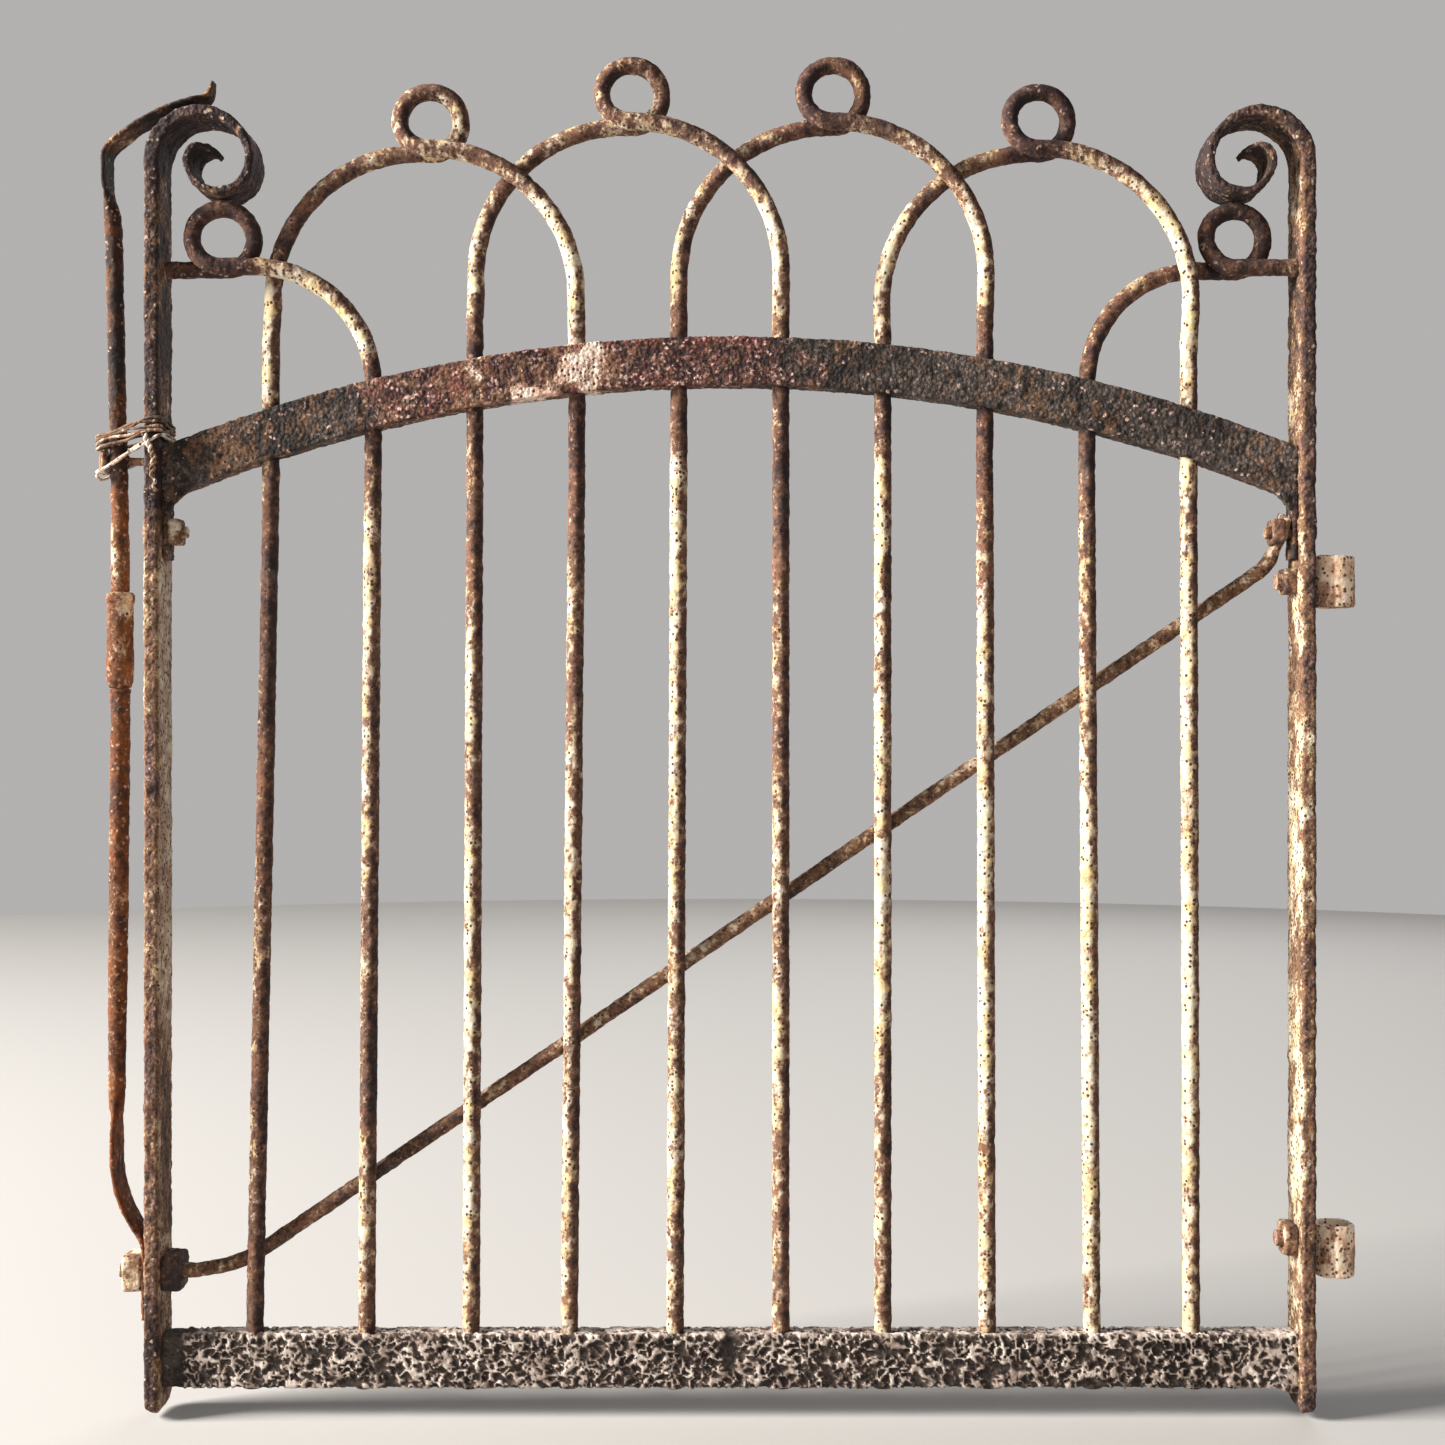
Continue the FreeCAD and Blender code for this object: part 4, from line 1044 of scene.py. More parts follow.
@dataclass
class Stiles:
    """The two flat uprights, each drawn thin at the top and rolled into a scroll."""

    outside: float = 0.433
    inside: float = 0.422
    depth: float = 0.038
    spring_level: float = 0.931
    outer_bows: tuple = ((0.3926, 0.0404), (0.3782, 0.026), (0.3907, 0.0135))
    inner_bows: tuple = ((0.3903, 0.0317), (0.3788, 0.0202), (0.3898, 0.0092))
    bow_ends: tuple = ((0.0, 180.0), (180.0, 360.0), (0.0, 140.0))
    step: float = 0.00125
    corner: float = 0.0026
    around: int = 78
    rim: float = 0.0007
    foot_round: float = 0.009

    def edge(self, x: float, bows: tuple, counts: list[int]) -> Array:
        """One face of the bar as a line: straight up, then three half circles that shrink."""
        count = round(self.spring_level / self.step)
        heights = np.linspace(self.foot_round + 0.0015, self.spring_level, count)
        runs = [np.stack([np.full(count, x), heights], axis=1)]
        for (centre, radius), (start, end), many in zip(bows, self.bow_ends, counts):
            angles = np.radians(np.linspace(start, end, many))[1:]
            runs.append(np.stack([centre + radius * np.cos(angles),
                                  self.spring_level + radius * np.sin(angles)], axis=1))
        return np.concatenate(runs)

    def build(self, shop: Workshop, side: Side) -> None:
        """One stile.

        Row i is a rounded rectangle between the outer and inner faces of the bar at the same
        distance along it, so the bar thins as the two spirals close on each other. Over its last
        24 mm the bar also narrows to half its depth.
        """
        counts = [round(math.radians(end - start) * radius / self.step) + 1
                  for (_, radius), (start, end) in zip(self.outer_bows, self.bow_ends)]
        outer = self.edge(self.outside, self.outer_bows, counts)
        inner = self.edge(self.inside, self.inner_bows, counts)
        profile = rectangle_profile(self.outside - self.inside, self.depth, self.corner, self.around)
        share = profile[:, 0] / (self.outside - self.inside) + 0.5
        plan = inner[:, None] + (outer - inner)[:, None] * share[:, None]
        deep = np.broadcast_to(profile[:, 1], plan.shape[:2])
        scroll = ease(0.90, 0.96, outer[:, 1])[:, None]
        deep = deep * (1 + scroll * self.rim / (self.depth / 2))
        travelled = np.concatenate([[0.0], np.cumsum(np.hypot(*np.diff(outer, axis=0).T))])
        deep = deep * (1 - 0.5 * ease(0.024, 0.0, travelled[-1] - travelled)[:, None] ** 2)
        grid = np.stack([side.value * plan[..., 0], deep, plan[..., 1]], axis=-1)
        shell = Shell(rounded_ends(grid, self.foot_round, 9, 0.0007))
        x, z = shell.grid[..., 0], shell.grid[..., 2]
        rolled = ease(0.925, 0.95, z) + ease(0.0, 0.01, self.inside - np.abs(x)) * (z > 0.85)
        rolled = np.clip(rolled, 0.0, 1.0)
        facing = leftness(shell)
        front = ease(0.3, 0.8, -shell.normals()[..., 1])
        word = "latch" if side is Side.LATCH else "hinge"
        if side is Side.LATCH:
            cover = 0.12 + 0.33 * ease(0.72, 0.60, z) - 0.3 * ease(0.16, 0.08, z) - 0.2 * front
            cover = cover + 0.14 * ease(0.2, 0.8, -facing) * ease(0.75, 0.6, z)
            tone = 0.08 + 0.62 * ease(0.78, 0.52, z) - 0.8 * ease(0.15, 0.05, z)
        else:
            cover = 0.32 + 0.28 * ease(0.76, 0.62, z) - 0.3 * ease(0.14, 0.06, z) - 0.22 * front
            cover = cover + 0.02 * ease(0.2, 0.8, facing) - 0.3 * ease(0.2, 0.8, -facing)
            cover = cover - 0.45 * ease(0.4265, 0.4295, x) * front * ease(0.50, 0.62, z)
            tone = 0.40 + 0.2 * ease(0.75, 0.60, z)
        cover = cover * (1 - 0.8 * rolled)
        tone = tone * (1 - 0.5 * rolled) + 0.1 * front
        hue = 0.45 - 0.2 * rolled - 0.15 * front
        rough = Corrosion(lump=0.0005, lump_size=0.008, scale=0.0007, scale_size=0.0045,
                          pit=0.0006, pit_size=0.006, patch_size=0.0055, broad=0.34)
        # Darkens the latch stile's inner face, the face turned from the key light, and mixes stain
        # into its paint there.
        inner_face_darkening = 0.30 * ease(0.2, 0.8, -facing) if side is Side.LATCH else 0.0
        shell.corrode(rough, cover, tone, hue, 1000 + side.value, inner_face_darkening)
        piece = make_piece(f"{word}_stile_bar", [shell])
        shop.dress(piece, "stile_iron", [f"{word}_stile"])


# ---------------------------------------------------------------- rails


@dataclass
class Rails:
    """The arched top rail and the straight bottom rail, both channel with the web in front."""

    depth: float = 0.019
    wall: float = 0.003
    end: float = 0.4218
    outside: float = 0.4328
    crown: float = 0.802
    outer_radius: float = 1.127
    height: float = 0.036
    foot_level: float = 0.637
    flare: float = 0.011
    bottom_low: float = 0.0215
    bottom_high: float = 0.0595
    step: float = 0.0013
    around: int = 112

    def channel(self, height: float) -> Array:
        """The outline of the channel, as (depth, share of height) pairs."""
        front, back = -self.depth / 2, self.depth / 2
        inner = front + self.wall
        corners = [(back, height), (back, height - self.wall), (inner, height - self.wall),
                   (inner, self.wall), (back, self.wall), (back, 0.0), (front, 0.0),
                   (front, height)]
        return outline_profile(corners, 0.0009, self.around)

    def spanning(self, x: Array, profile: Array, z: Array) -> Shell:
        """A rail from its places along the gate, the depths of its channel and its heights."""
        grid = np.stack([np.broadcast_to(x, z.shape), np.broadcast_to(profile[:, 0], z.shape), z],
                        axis=-1)
        return Shell(rounded_ends(grid, 0.0002, 2))

    def arched(self) -> Shell:
        """The top rail: heights run between two circles with one centre.

        z = centre + √(r² - x²) for the lower and the upper edge, mixed by the share of height,
        and the lower edge flares down at each end.
        """
        profile = self.channel(self.height)
        x = np.linspace(-self.end, self.end, round(2 * self.end / self.step))[:, None]
        centre = self.crown - self.outer_radius
        top = centre + np.sqrt(self.outer_radius ** 2 - x * x)
        low = centre + np.sqrt((self.outer_radius - self.height) ** 2 - x * x)
        web = ease(0.004, -0.006, profile[:, 0])
        low = low - web * self.flare * ease(0.03, 0.002, self.end - np.abs(x)) ** 2
        share = profile[:, 1] / self.height
        z = low + (top - low) * share
        return self.spanning(x, profile, z)

    def slab(self, corner_low: tuple, corner_high: tuple, step: float) -> Shell:
        """A plain block of bar that runs along Z, with rounded edges."""
        low, high = np.array(corner_low), np.array(corner_high)
        middle = (low + high) / 2
        line = straight(np.array((middle[0], middle[1], low[2])),
                        np.array((middle[0], middle[1], high[2])), step)
        width, depth, _ = high - low
        profile = rectangle_profile(width, depth, min(width, depth) * 0.3, 34)
        return Shell(rounded_ends(carried(line, profile, ALONG_Y), 0.0005, 3))

    def build_top(self, shop: Workshop) -> None:
        """The arched rail with its turned-down feet, pebbled by rust and flecked with paint."""
        shell = self.arched()
        x = shell.grid[..., 0]
        white = ease(-0.20, -0.185, x) * ease(-0.075, -0.10, x)
        clumps = fractal(shell.grid, 0.03, 3, 50)
        cover = 0.72 * white * ease(-0.35, 0.25, clumps) + 0.14 * ease(0.1, -0.2, x)
        red = ease(-0.34, -0.22, x) * ease(0.12, -0.02, x)
        tone = 0.34 + 0.16 * red + 0.22 * ease(0.05, 0.2, x)
        pebbles = Corrosion(lump=0.0003, lump_size=0.009, scale=0.0008, scale_size=0.0034,
                            pit=0.0006, pit_size=0.0044, spread=0.34, patch_size=0.005)
        shell.corrode(pebbles, cover, tone, red * 1.3 - 0.2, 1300)
        shells = [shell]
        for sign in (-1, 1):
            near, far = sorted((sign * self.end, sign * (self.end - 0.004)))
            foot = self.slab((near, -self.depth / 2, self.foot_level),
                             (far, self.depth / 2, 0.712), 0.0013)
            shells.append(foot.corrode(pebbles, 0.1, 0.3, 0.3, 1320 + sign))
        shop.dress(make_piece("top_rail_channel", shells), "rail_iron", ["top_rail"])

    def build_bottom(self, shop: Workshop) -> None:
        """The straight rail, its paint left as a raised net of ridges round smooth hollows.

        The net is where the nearest and the second nearest scattered points are about as far.
        """
        height = self.bottom_high - self.bottom_low
        profile = self.channel(height)
        x = np.linspace(-self.end, self.end, round(2 * self.end / self.step))[:, None]
        flare = 0.004 * ease(0.018, 0.002, self.end - x)
        z = self.bottom_low + profile[:, 1] - flare * ease(0.6, 0.0, profile[:, 1] / height)
        shell = self.spanning(x, profile, z)
        points = shell.grid
        warp = np.stack([fractal(points, 0.008, 2, 1400 + axis) for axis in range(3)], axis=-1)
        stretched = (points + 0.0030 * warp) * np.array((1.0, 1.0, 1.15))
        nearest, second, _ = flakes(stretched, 0.0070, 1410)
        net = ease(0.30, 0.04, second - nearest + 0.12 * fractal(points, 0.004, 2, 1420))
        net = net * ease(-1.1, -0.3, fractal(points, 0.012, 2, 1425))
        # Painted top light: upward faces get more pale paint, so the rail's top reads as lit.
        upper = ease(0.0, 0.9, shell.normals()[..., 2])
        # The plain band at the latch end has no paint net and its own rust tone: a painted shadow of
        # the latch stile.
        plain = ease(0.020, 0.010, points[..., 0] + self.end)
        worn_end = ease(0.35, 0.41, points[..., 0])
        net = np.clip(net + 0.45 * upper + 0.35 * worn_end, 0.0, 1.0) * (1 - plain)
        cover = 0.92 * net
        crust = Corrosion(lump=0.0005, lump_size=0.007, scale=0.0003, scale_size=0.004, pit=0.0002,
                          pit_size=0.004, chip=0.0013, spread=0.24, patch_size=0.004, broad=0.08)
        # 0.45 * plain sets the rust tone of the painted stile shadow band.
        shell.corrode(crust, cover, 0.42 + 0.45 * plain, 0.25, 1430)
        shells = [shell]
        for sign in (-1, 1):
            near, far = sorted((sign * self.outside, sign * (self.end - 0.004)))
            tenon = self.slab((near, -self.depth / 2 + 0.0002, self.bottom_low + 0.0062),
                              (far, -self.depth / 2 + self.wall, self.bottom_high - 0.0062), 0.0013)
            shells.append(tenon.corrode(Corrosion(lump=0.0001, scale=0.0001, pit=0.0001), 0.15, 0.3,
                                        0.3, 1440 + sign))
        shop.dress(make_piece("bottom_rail_channel", shells), "pitted_rail", ["bottom_rail"])

    def build(self, shop: Workshop) -> None:
        """Build both rails."""
        self.build_top(shop)
        self.build_bottom(shop)


# ---------------------------------------------------------------- tension rod


@dataclass
class TensionRod:
    """The diagonal rod: threaded at the latch stile, hammered flat under the hinge-side bolt."""

    radius: float = 0.0055
    flat_width: float = 0.025
    flat_thickness: float = 0.005
    thread_pitch: float = 0.0018
    step: float = 0.0012
    around: int = 24

    def build(self, shop: Workshop) -> None:
        """A circle carried along the rod, widened into a flat at its upper end."""
        corners = [((-0.4545, 0.0, 0.106), 0.0), ((-0.398, 0.0, 0.106), 0.024),
                   ((-0.367, 0.0125, 0.108), 0.060), ((0.404, 0.0125, 0.632), 0.026),
                   ((0.4135, 0.0075, 0.655), 0.012), ((0.4153, 0.003, 0.669), 0.0)]
        line = bent_bar(corners, self.step)
        left = lengths(line)[-1] - lengths(line)
        flat = ease(0.036, 0.014, left)[:, None, None]
        circle = round_profile(self.around) * self.radius
        bar = like_circle(rectangle_profile(self.flat_thickness, self.flat_width, 0.0018,
                                            self.around))
        profiles = circle * (1 - flat) + bar * flat
        shell = Shell(rounded_ends(carried(line, profiles, ALONG_Y), 0.0008))
        along = np.pad(lengths(line), 5, mode="edge")[:, None]
        x = shell.grid[..., 0]
        thread = 0.00035 * np.sin(2 * math.pi * x / self.thread_pitch) * ease(-0.432, -0.437, x)
        shell.grid = shell.grid + shell.normals() * thread[..., None]
        cover = 0.20 + 0.26 * ease(0.3, 0.8, along) + 0.14 * shell.normals()[..., 2]
        # Painted light: the rust is brighter on the side facing the key light.
        tone = 0.48 + 0.1 * leftness(shell)
        rough = Corrosion(lump=0.0003, scale=0.0004, scale_size=0.004, pit=0.0004)
        shell.corrode(rough, cover, tone, 0.5, 1500)
        shop.dress(make_piece("tension_rod", [shell]), "brace_iron", ["brace_rod"])


# ---------------------------------------------------------------- bolts, nuts and hinges


@dataclass(frozen=True)
class Nut:
    """A square nut on an axis along X."""

    name: str
    node: str
    inner_x: float
    outer_x: float
    level: float
    width: float
    bore: float
    paint: float
    tone: float
    seed: int


@dataclass
class Fasteners:
    """The nuts, the rail bolts, the hinge eyes and their bolts."""

    outside: float = 0.433
    inside: float = 0.422
    bolt_level: float = 0.657
    bolt_radius: float = 0.00475
    hinge_axis: float = 0.451
    eye_radius: float = 0.015
    eye_bore: float = 0.0108
    eye_height: float = 0.038
    shank_radius: float = 0.006
    thread_pitch: float = 0.0021
    nut_sides: int = 64
    nuts: tuple[Nut, ...] = (
        Nut("inner_square_nut", "brace_inner_nut", -0.42195, -0.40795, 0.106, 0.027, 0.0054,
            0.05, 0.30, 1600),
        Nut("outer_square_nut", "brace_outer_nut", -0.4367, -0.4507, 0.106, 0.027, 0.0054,
            0.62, 0.75, 1610),
        Nut("left_rail_nut", "rail_nut_left", -0.4178, -0.4088, 0.657, 0.019, 0.0046,
            0.15, 0.45, 1620),
        Nut("right_rail_nut", "rail_nut_right", 0.4126, 0.4036, 0.657, 0.019, 0.0046,
            0.2, 0.5, 1630),
        Nut("upper_bolt_nut", "upper_hinge_nut", 0.42195, 0.41195, 0.620, 0.019, 0.0059,
            0.35, 0.5, 1640),
        Nut("lower_bolt_nut", "lower_hinge_nut", 0.42195, 0.41195, 0.130, 0.023, 0.0059,
            0.3, 0.5, 1650),
    )
    lumpy: Corrosion = Corrosion(lump=0.0005, lump_size=0.008, scale=0.0004, pit=0.0004,
                                 spread=0.5, patch_size=0.009)

    def build_nut(self, shop: Workshop, nut: Nut) -> None:
        """A square nut with softened corners.

        The section goes from the bore over one face, the side and the other face back to the
        bore, and each radius is stretched towards a square: r / (|cos|⁸ + |sin|⁸)^(1/8).
        """
        half = nut.width / 2
        thick = abs(nut.outer_x - nut.inner_x)
        section = drawn_section([(0.0, nut.bore), (0.0, half), (thick, half), (thick, nut.bore)],
                                0.0014, 0.0011, closed=True)
        grid = turned(section, (0.0, 0.0, 0.0), ALONG_X, self.nut_sides)
        angles = np.linspace(0.0, 2 * math.pi, self.nut_sides, endpoint=False)
        square = (np.abs(np.cos(angles)) ** 8 + np.abs(np.sin(angles)) ** 8) ** (-1 / 8)
        reach = ease(nut.bore, half, section[:, 1])[:, None]
        stretch = 1 + (square - 1) * reach
        grid[..., 1:] = grid[..., 1:] * stretch[..., None]
        low = min(nut.inner_x, nut.outer_x)
        shell = Shell(grid + np.array((low, 0.0, nut.level)), looped=True)
        # Painted light: more paint, so paler, on the side facing the key light.
        cover = nut.paint + 0.1 * leftness(shell)
        shell.corrode(self.lumpy, cover, nut.tone, 0.5, nut.seed)
        shop.dress(make_piece(nut.name, [shell]), "fastener_iron", [nut.node])

    def build_rail_bolt(self, shop: Workshop, side: Side, grip: float) -> None:
        """A bolt with a low domed head outside the stile."""
        end = self.inside - grip - 0.013
        head = self.outside + 0.0001
        section = drawn_section(
            [(end, 0.0), (end, self.bolt_radius - 0.0005), (head, self.bolt_radius),
             (head, 0.0085), (head + 0.0024, 0.0080), (head + 0.0042, 0.0056), (head + 0.005, 0.0)],
            0.0008, 0.0009, closed=False)
        shell = Shell(turned(section, (0.0, 0.0, self.bolt_level), ALONG_X * side.value, 34))
        shell.corrode(self.lumpy, 0.2, 0.4, 0.5, 1700 + side.value)
        piece = make_piece(f"{side.word}_rail_bolt", [shell])
        shop.dress(piece, "fastener_iron", [f"rail_bolt_{side.word}"])

    def build_hinge(self, shop: Workshop, word: str, level: float, bolt_level: float,
                    paint: float) -> None:
        """A rolled eye and the bolt that it is forged on.

        The barrel is a rounded rectangle turned about the hinge axis, with the lap of the
        rolled bar as a shallow groove down its front.
        """
        half = self.eye_height / 2
        section = drawn_section([(-half, self.eye_bore), (-half, self.eye_radius),
                                 (half, self.eye_radius), (half, self.eye_bore)],
                                0.0011, 0.0011, closed=True)
        barrel = Shell(turned(section, (self.hinge_axis, 0.0, level), ALONG_Z, 84), looped=True)
        x, y = barrel.grid[..., 0], barrel.grid[..., 1]
        outer = ease(0.012, 0.0145, np.hypot(x - self.hinge_axis, y))
        lap_x = self.hinge_axis - 0.004 + 0.0006 * smooth_noise(barrel.grid, 0.012, 5)
        lap = ease(0.0011, 0.0, np.abs(x - lap_x)) * (y < 0) * outer
        barrel.grid = barrel.grid - barrel.normals() * (0.0009 * lap)[..., None]
        # Painted light: more paint on the side facing the key light.
        barrel.corrode(self.lumpy, paint + 0.15 * leftness(barrel) - 0.4 * lap, 0.6, 0.5,
                       1800 + round(level * 100))
        end = self.inside - 0.0145
        line = straight(np.array((end, 0.0, bolt_level)),
                        np.array((self.hinge_axis - 0.0125, 0.0, bolt_level)), 0.0008)
        shank = Shell(rounded_ends(carried(line, round_profile(28) * (self.shank_radius - 0.0002),
                                           ALONG_Y), 0.0005))
        thread = 0.0003 * np.sin(2 * math.pi * shank.grid[..., 0] / self.thread_pitch)
        shank.grid = shank.grid + shank.normals() * thread[..., None]
        shank.corrode(Corrosion(lump=0.0003, scale=0.0002, pit=0.0002), 0.25, 0.5, 0.5, 1850)
        piece = make_piece(f"{word}_hinge_barrel", [barrel, shank])
        shop.dress(piece, "hinge_iron", [f"{word}_hinge_eye"])

    def build(self, shop: Workshop) -> None:
        """Build every fastener and both hinge eyes."""
        for nut in self.nuts:
            self.build_nut(shop, nut)
        self.build_rail_bolt(shop, Side.LATCH, 0.0042)
        self.build_rail_bolt(shop, Side.HINGE, 0.0094)
        # The high paint on the hinge eyes is partly painted light, making up for the hinge stile's
        # shadow on them.
        self.build_hinge(shop, "upper", 0.620, 0.620, 0.74)
        self.build_hinge(shop, "lower", 0.122, 0.130, 0.9)


# ---------------------------------------------------------------- latch


@dataclass
class Latch:
    """The spring latch: a leaf, a round rod with a roller, a thumb strap, and its guide pin."""

    rod_x: float = -0.4557
    rod_radius: float = 0.00635
    leaf_width: float = 0.026
    leaf_thickness: float = 0.0035
    strap_width: float = 0.025
    strap_thickness: float = 0.003
    guide_level: float = 0.710
    boss_radius: float = 0.0086
    seat_radius: float = 0.0078
    seat_level: float = 0.5387
    roller_low: float = 0.541
    roller_length: float = 0.071
    roller_radius: float = 0.010
    roller_bore: float = 0.0065
    spring_x: float = -0.4349
    spring_foot: float = 0.122
    spring_head: float = 0.222
    step: float = 0.0011
    around: int = 36

    def bar_line(self) -> Array:
        """The line of the latch from the clamped foot of its leaf to the turned-up thumb tip."""
        top = self.rod_x - 0.005
        strap = top - 0.0045
        leaf = self.rod_x - 0.0026
        corners = [((-0.43485, 0.0, 0.072), 0.0), ((-0.43485, 0.0, 0.1285), 0.0206),
                   ((leaf, 0.0, 0.161), 0.098), ((leaf, 0.0, 0.236), 0.8),
                   ((self.rod_x, 0.0, 0.505), 2.5), ((self.rod_x, 0.0, 0.662), 2.5),
                   ((top, 0.0, 0.892), 0.2), ((strap, 0.0, 0.915), 0.1),
                   ((strap, 0.0, 0.9415), 0.015), ((-0.4305, 0.0, 0.9702), 0.15),
                   ((-0.3886, 0.0, 0.9810), 0.007), ((-0.3858, 0.0, 0.9930), 0.0)]
        return bent_bar(corners, self.step)

    def build_bar(self, shop: Workshop) -> None:
        """The latch bar, from spring foot to thumb tip, as one bent surface.

        Its outline is mixed from three: a flat bar up to the swell, a circle along the rod and
        a thinner flat bar from the shoulder on. The boss and the roller's seat widen the circle.
        """
        line = self.bar_line()
        along = lengths(line)
        z = line[:, 2]
        at_leaf = ease(0.240, 0.206, z)
        past_crown = np.maximum.accumulate(z) >= 0.887
        at_strap = np.where(past_crown, ease(0.889, 0.922, z), 0.0)
        at_strap = np.where(np.arange(len(z)) > np.argmax(z >= 0.922), 1.0, at_strap)
        radius = np.full(len(z), self.rod_radius)
        radius += 0.0008 * ease(0.25, 0.35, z) * ease(0.68, 0.6, z)
        sphere = np.sqrt(np.maximum(self.boss_radius ** 2 - (z - self.guide_level) ** 2, 0.0))
        radius = np.maximum(radius, sphere)
        seat = self.seat_radius * (np.abs(z - self.seat_level) < 0.0021)
        radius = np.maximum(radius, seat)
        roller_high = self.roller_low + self.roller_length
        inside_roller = (z > self.roller_low - 0.001) & (z < roller_high + 0.001)
        radius = np.where(inside_roller, self.rod_radius - 0.0004, radius)
        circle = round_profile(self.around)
        leaf = self.fitted(self.leaf_thickness, self.leaf_width, 0.0012)
        strap = self.fitted(self.strap_thickness, self.strap_width, 0.0011)
        tip = np.stack([0.3 * ease(0.006, 0.0, along[-1] - along),
                        0.6 * ease(0.022, 0.0, along[-1] - along)], axis=-1)[:, None]
        round_part = circle * radius[:, None, None]
        leaf_share, strap_share = at_leaf[:, None, None], at_strap[:, None, None]
        profiles = (round_part * (1 - leaf_share) * (1 - strap_share) + leaf * leaf_share
                    + strap * strap_share * (1 - tip))
        shell = Shell(rounded_ends(carried(line, profiles, ALONG_Y), 0.0008))
        height = shell.grid[..., 2]
        upper = ease(0.66, 0.74, height)
        low = ease(0.30, 0.16, height)
        facing = leftness(shell)
        strap_part = ease(0.88, 0.93, height)
        middle = ease(0.56, 0.60, height) * ease(0.72, 0.66, height)
        # Painted light and shade: more paint on the side facing the key light and less on the other;
        # the next line lights the lower leaf's edge that faces it.
        cover = 0.13 - 0.10 * upper - 0.13 * low + 0.20 * facing * (1 - strap_part) + 0.1 * middle
        cover = cover + 0.5 * low * ease(0.75, 0.95, facing)
        tone = 0.50 - 0.42 * upper - 0.25 * strap_part + 0.15 * low
        hue = 0.95 - 0.60 * upper - 0.3 * strap_part + 0.5 * low
        worn = Corrosion(lump=0.00035, scale=0.0004, pit=0.0005, pit_size=0.007, patch_size=0.010)
        shell.corrode(worn, cover, tone, hue, 1900)
        piece = make_piece("latch_spring_bar", [shell])
        shop.dress(piece, "latch_iron", ["latch_bar", "latch_spring_foot"], body=None)
        foot = PLACE.offset() + np.array((self.spring_x, 0.0, self.spring_foot))
        head = PLACE.offset() + np.array((self.spring_x, 0.0, self.spring_head))
        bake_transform(piece)

    def fitted(self, thickness: float, width: float, corner: float) -> Array:
        """A flat bar's outline whose points start in the same direction as the circle's."""
        return like_circle(rectangle_profile(thickness, width, corner, self.around))

    def build_roller(self, shop: Workshop) -> None:
        """The loose pipe on the rod, with a swollen rim at its top and a bevel at its foot."""
        low, high = self.roller_low, self.roller_low + self.roller_length
        bore, radius = self.roller_bore, self.roller_radius
        section = drawn_section(
            [(low, bore), (low, radius - 0.0022), (low + 0.006, radius),
             (high - 0.008, radius - 0.0005), (high - 0.007, radius + 0.0003),
             (high - 0.002, radius + 0.0003), (high, radius - 0.001), (high, bore)],
            0.0006, 0.001, closed=True)
        shell = Shell(turned(section, (self.rod_x, 0.0, 0.0), ALONG_Z, 58), looped=True)
        cover = 0.26 + 0.12 * fractal(shell.grid, 0.02, 2, 3)
        worn = Corrosion(lump=0.0004, scale=0.0004, pit=0.0005, patch_size=0.009)
        shell.corrode(worn, cover, 0.7, 0.9, 1950)
        shop.dress(make_piece("keeper_roller", [shell]), "latch_iron", ["latch_roller"], Body.ROLLER)

    def build_pin(self, shop: Workshop) -> None:
        """The guide pin through the stile, its head wound like a coil."""
        head = self.rod_x - 0.0096
        inner = -0.4219
        route = [(inner + 0.003, 0.0), (inner + 0.002, 0.005), (inner, 0.006), (inner, 0.0029),
                 (head, 0.0029), (head, 0.0092), (head - 0.0012, 0.0098), (head - 0.0018, 0.0086),
                 (head - 0.0026, 0.0094), (head - 0.0034, 0.0078), (head - 0.0042, 0.0068),
                 (head - 0.005, 0.0)]
        section = drawn_section(route, 0.0004, 0.0007, closed=False)
        shell = Shell(turned(section, (0.0, 0.0, self.guide_level), ALONG_X, 40))
        shell.corrode(Corrosion(lump=0.0003, scale=0.0002, pit=0.0002), 0.45, 0.85, 0.8, 1970)
        shop.dress(make_piece("guide_pin", [shell]), "fastener_iron", ["latch_guide_pin"])

    def build(self, shop: Workshop) -> None:
        """Build the latch, its roller and its guide pin."""
        self.build_bar(shop)
        self.build_roller(shop)
        self.build_pin(shop)


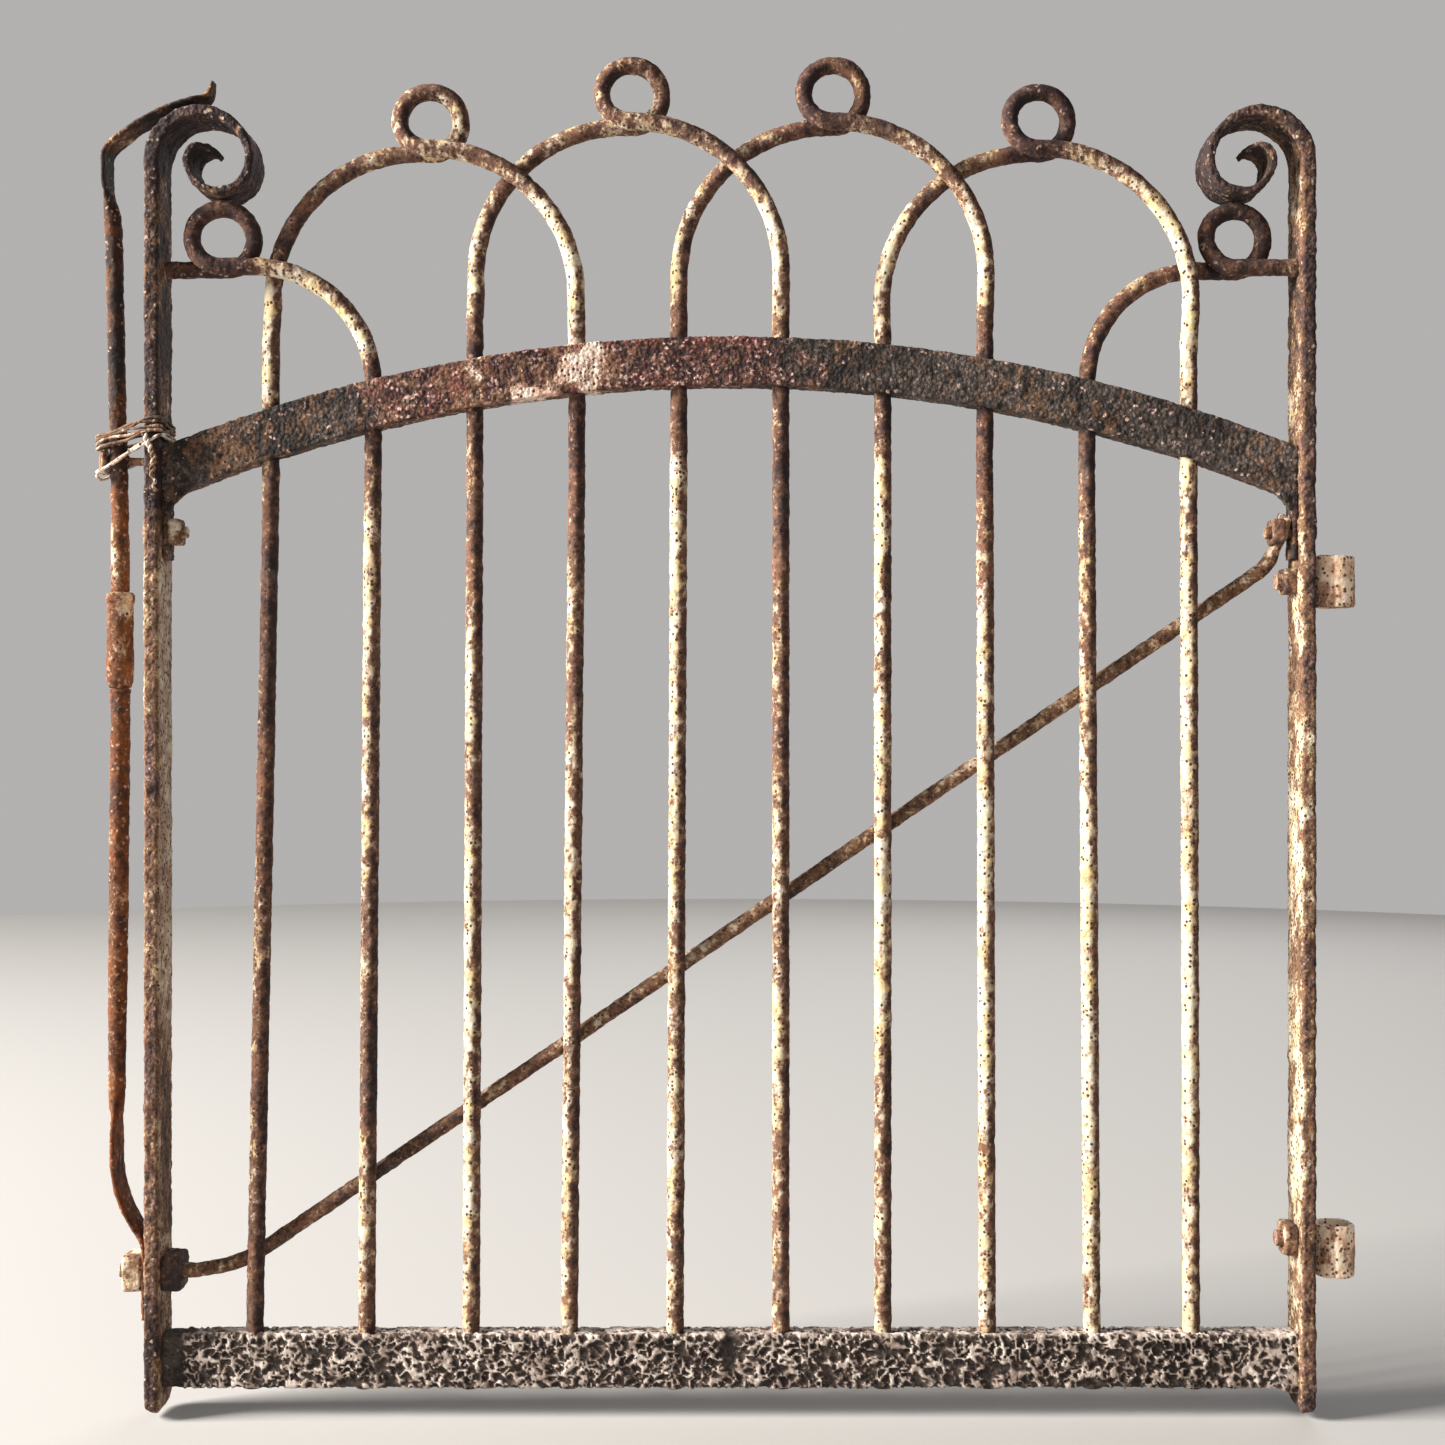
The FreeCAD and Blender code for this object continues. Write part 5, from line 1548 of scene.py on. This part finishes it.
@dataclass
class Binding:
    """The turns of old wire round the latch stile and the latch rod, and their knot."""

    radius: float = 0.0011
    reach: float = 0.0206
    inner: float = -0.4203
    nose: float = -0.4717
    outside: float = 0.433
    step: float = 0.0009
    around: int = 10
    lay: float = 0.009
    wear: Corrosion = Corrosion(lump=0.0001, scale=0.0001, pit=0.00005, chip=0.00005)
    turns: tuple = ((0.7395, 0.7245, 0.2), (0.7375, 0.7280, 0.35), (0.7340, 0.7262, 0.3),
                    (0.7320, 0.7215, 0.5), (0.7285, 0.6970, 0.8), (0.7262, 0.7000, 0.75),
                    (0.7300, 0.7190, 0.4))

    def turn(self, inner_level: float, nose_level: float, paint: float, seed: int) -> Shell:
        """One closed turn, sloping from the stile's inner side down to the rod, a little uneven."""
        fall = (inner_level - nose_level) / (self.inner - self.nose)
        level = inner_level - fall * (self.inner + self.outside)
        reach = self.reach
        corners = [((-0.4290, -reach, (inner_level + level) / 2), 0.0),
                   ((self.inner, -reach, inner_level), 0.0024),
                   ((self.inner, reach, inner_level), 0.0024), ((-0.433, reach, level), 0.012),
                   ((self.nose, 0.009, nose_level), 0.008), ((self.nose, -0.009, nose_level), 0.008),
                   ((-0.435, -reach, level), 0.012),
                   ((-0.4290, -reach, (inner_level + level) / 2), 0.0)]
        line = bent_bar(corners, self.step)[:-1]
        part = np.linspace(0.0, 2 * math.pi, len(line), endpoint=False)
        line[:, 2] += 0.0012 * np.sin(2 * part + seed) + 0.0007 * np.sin(5 * part + 2 * seed)
        tangent = np.roll(line, -1, axis=0) - np.roll(line, 1, axis=0)
        tangent /= np.linalg.norm(tangent, axis=1, keepdims=True)
        up = ALONG_Z - tangent * tangent[:, 2:]
        up /= np.linalg.norm(up, axis=1, keepdims=True)
        out = np.cross(up, tangent)
        profile = round_profile(self.around) * self.radius
        grid = line[:, None] + profile[:, :1] * out[:, None] + profile[:, 1:] * up[:, None]
        shell = Shell(grid, looped=True)
        return shell.corrode(self.wear, paint, 0.5, 0.5, 2000 + seed)

    def twist(self, corners: list, strand: float, paint: float, seed: int) -> Shell:
        """A strand that winds about a route: its offset turns once in every lay of the twist."""
        line = bent_bar(corners, self.step)
        phase = 2 * math.pi * lengths(line) / self.lay + strand
        line[:, 0] += 0.0013 * np.cos(phase)
        line[:, 1] -= 0.0009 * np.sin(phase)
        shell = Shell(rounded_ends(carried(line, round_profile(self.around) * self.radius, ALONG_Y),
                                   0.0008, 3))
        return shell.corrode(self.wear, paint, 0.6, 0.5, 2050 + seed)

    def build(self, shop: Workshop) -> None:
        """Seven turns, a twisted knot and its loose tail."""
        shells = [self.turn(*levels, seed) for seed, levels in enumerate(self.turns, start=1)]
        tail = [((-0.4310, -0.0222, 0.7270), 0.0), ((-0.4235, -0.0236, 0.7100), 0.009),
                ((-0.4253, -0.0232, 0.6990), 0.009), ((-0.4225, -0.0228, 0.6860), 0.0)]
        short = tail[:2] + [((-0.4255, -0.0232, 0.6990), 0.0)]
        shells.append(self.twist(tail, 0.0, 0.75, 1))
        shells.append(self.twist(short, math.pi, 0.65, 2))
        shop.dress(make_piece("binding_turns", shells), "binding_wire", ["tie_wire"])


# ---------------------------------------------------------------- setting


@dataclass
class Studio:
    """A plain pale floor, soft lights and the camera."""

    camera_distance: float = 1.44
    camera_height: float = 0.515
    lens: float = 48.0
    sensor: float = 36.0
    floor_radius: float = 4.2
    floor_sides: int = 160
    floor_drop: float = 0.0015
    camera_shift: float = -0.0056
    floor: Rgb = (0.70, 0.69, 0.68)
    room: Rgb = (0.60, 0.60, 0.61)
    backdrop: Rgb = (0.70, 0.695, 0.69)

    def build_floor(self) -> None:
        """A wide flat disc just under the stiles' feet."""
        level = CAD_BOX[0][2] - self.floor_drop
        angles = np.linspace(0.0, 2 * math.pi, self.floor_sides, endpoint=False)
        rim = np.stack([PLACE.middle + self.floor_radius * np.cos(angles),
                        self.floor_radius * np.sin(angles), np.full_like(angles, level)], axis=1)
        mesh = bpy.data.meshes.new("floor")
        mesh.from_pydata(rim.tolist(), [], [list(range(self.floor_sides))])
        sheet = bpy.data.objects.new("floor", mesh)
        bpy.context.scene.collection.objects.link(sheet)
        material = bpy.data.materials.new("pale_floor")
        material.use_nodes = True
        surface = material.node_tree.nodes["Principled BSDF"]
        surface.inputs["Base Color"].default_value = linear(*self.floor)
        surface.inputs["Roughness"].default_value = 0.85
        mesh.materials.append(material)

    def lamp(self, name: str, place: Array, size: float, power: float, colour: Rgb) -> None:
        """A square soft light that faces the middle of the gate."""
        target = PLACE.offset() + np.array((0.0, 0.0, self.camera_height))
        light = bpy.data.lights.new(name, "AREA")
        light.size = size
        light.energy = power
        light.color = colour
        lamp = bpy.data.objects.new(name, light)
        lamp.location = target + place
        toward = -place / np.linalg.norm(place)
        yaw = math.atan2(toward[1], toward[0]) - math.pi / 2
        pitch = math.acos(float(-toward[2]))
        lamp.rotation_euler = (pitch, 0.0, yaw)
        bpy.context.scene.collection.objects.link(lamp)

    def build(self) -> None:
        """Set the floor, the lights, the air and the camera."""
        self.build_floor()
        self.lamp("window_light", np.array((-5.0, -1.05, 2.0)), 1.9, 1050.0, (1.0, 0.97, 0.92))
        self.lamp("front_fill", np.array((0.5, -3.2, 1.8)), 2.4, 22.0, (1.0, 0.96, 0.92))
        self.lamp("back_fill", np.array((1.2, 3.2, 1.8)), 2.4, 50.0, (0.97, 0.98, 1.0))
        world = bpy.data.worlds.new("room")
        world.use_nodes = True
        make = Nodes(world.node_tree)
        air = world.node_tree.nodes["Background"]
        wall = make.add("ShaderNodeBackground")
        chosen = make.add("ShaderNodeMixShader")
        make.feed(air.inputs[0], linear(*self.room))
        make.feed(air.inputs[1], 0.4)
        make.feed(wall.inputs[0], linear(*self.backdrop))
        make.feed(chosen.inputs[0], make.add("ShaderNodeLightPath").outputs["Is Camera Ray"])
        make.feed(chosen.inputs[1], air.outputs[0])
        make.feed(chosen.inputs[2], wall.outputs[0])
        make.feed(world.node_tree.nodes["World Output"].inputs[0], chosen.outputs[0])
        scene = bpy.context.scene
        scene.world = world
        scene.view_settings.view_transform = "Standard"
        data = bpy.data.cameras.new("camera")
        data.lens = self.lens
        data.sensor_width = self.sensor
        camera = bpy.data.objects.new("camera", data)
        camera.location = PLACE.offset() + np.array((self.camera_shift, -self.camera_distance,
                                                     self.camera_height))
        camera.rotation_euler = (math.pi / 2, 0.0, 0.0)
        scene.collection.objects.link(camera)
        scene.camera = camera


def main() -> None:
    """Build the gate piece by piece, then the setting."""
    logging.basicConfig(level=logging.INFO, format="%(message)s")
    shop = Workshop()
    Pickets().build(shop)
    for side in Side:
        Stiles().build(shop, side)
    Rails().build(shop)
    TensionRod().build(shop)
    Fasteners().build(shop)
    Latch().build(shop)
    Binding().build(shop)
    Studio().build()


if __name__ == "__main__":
    main()
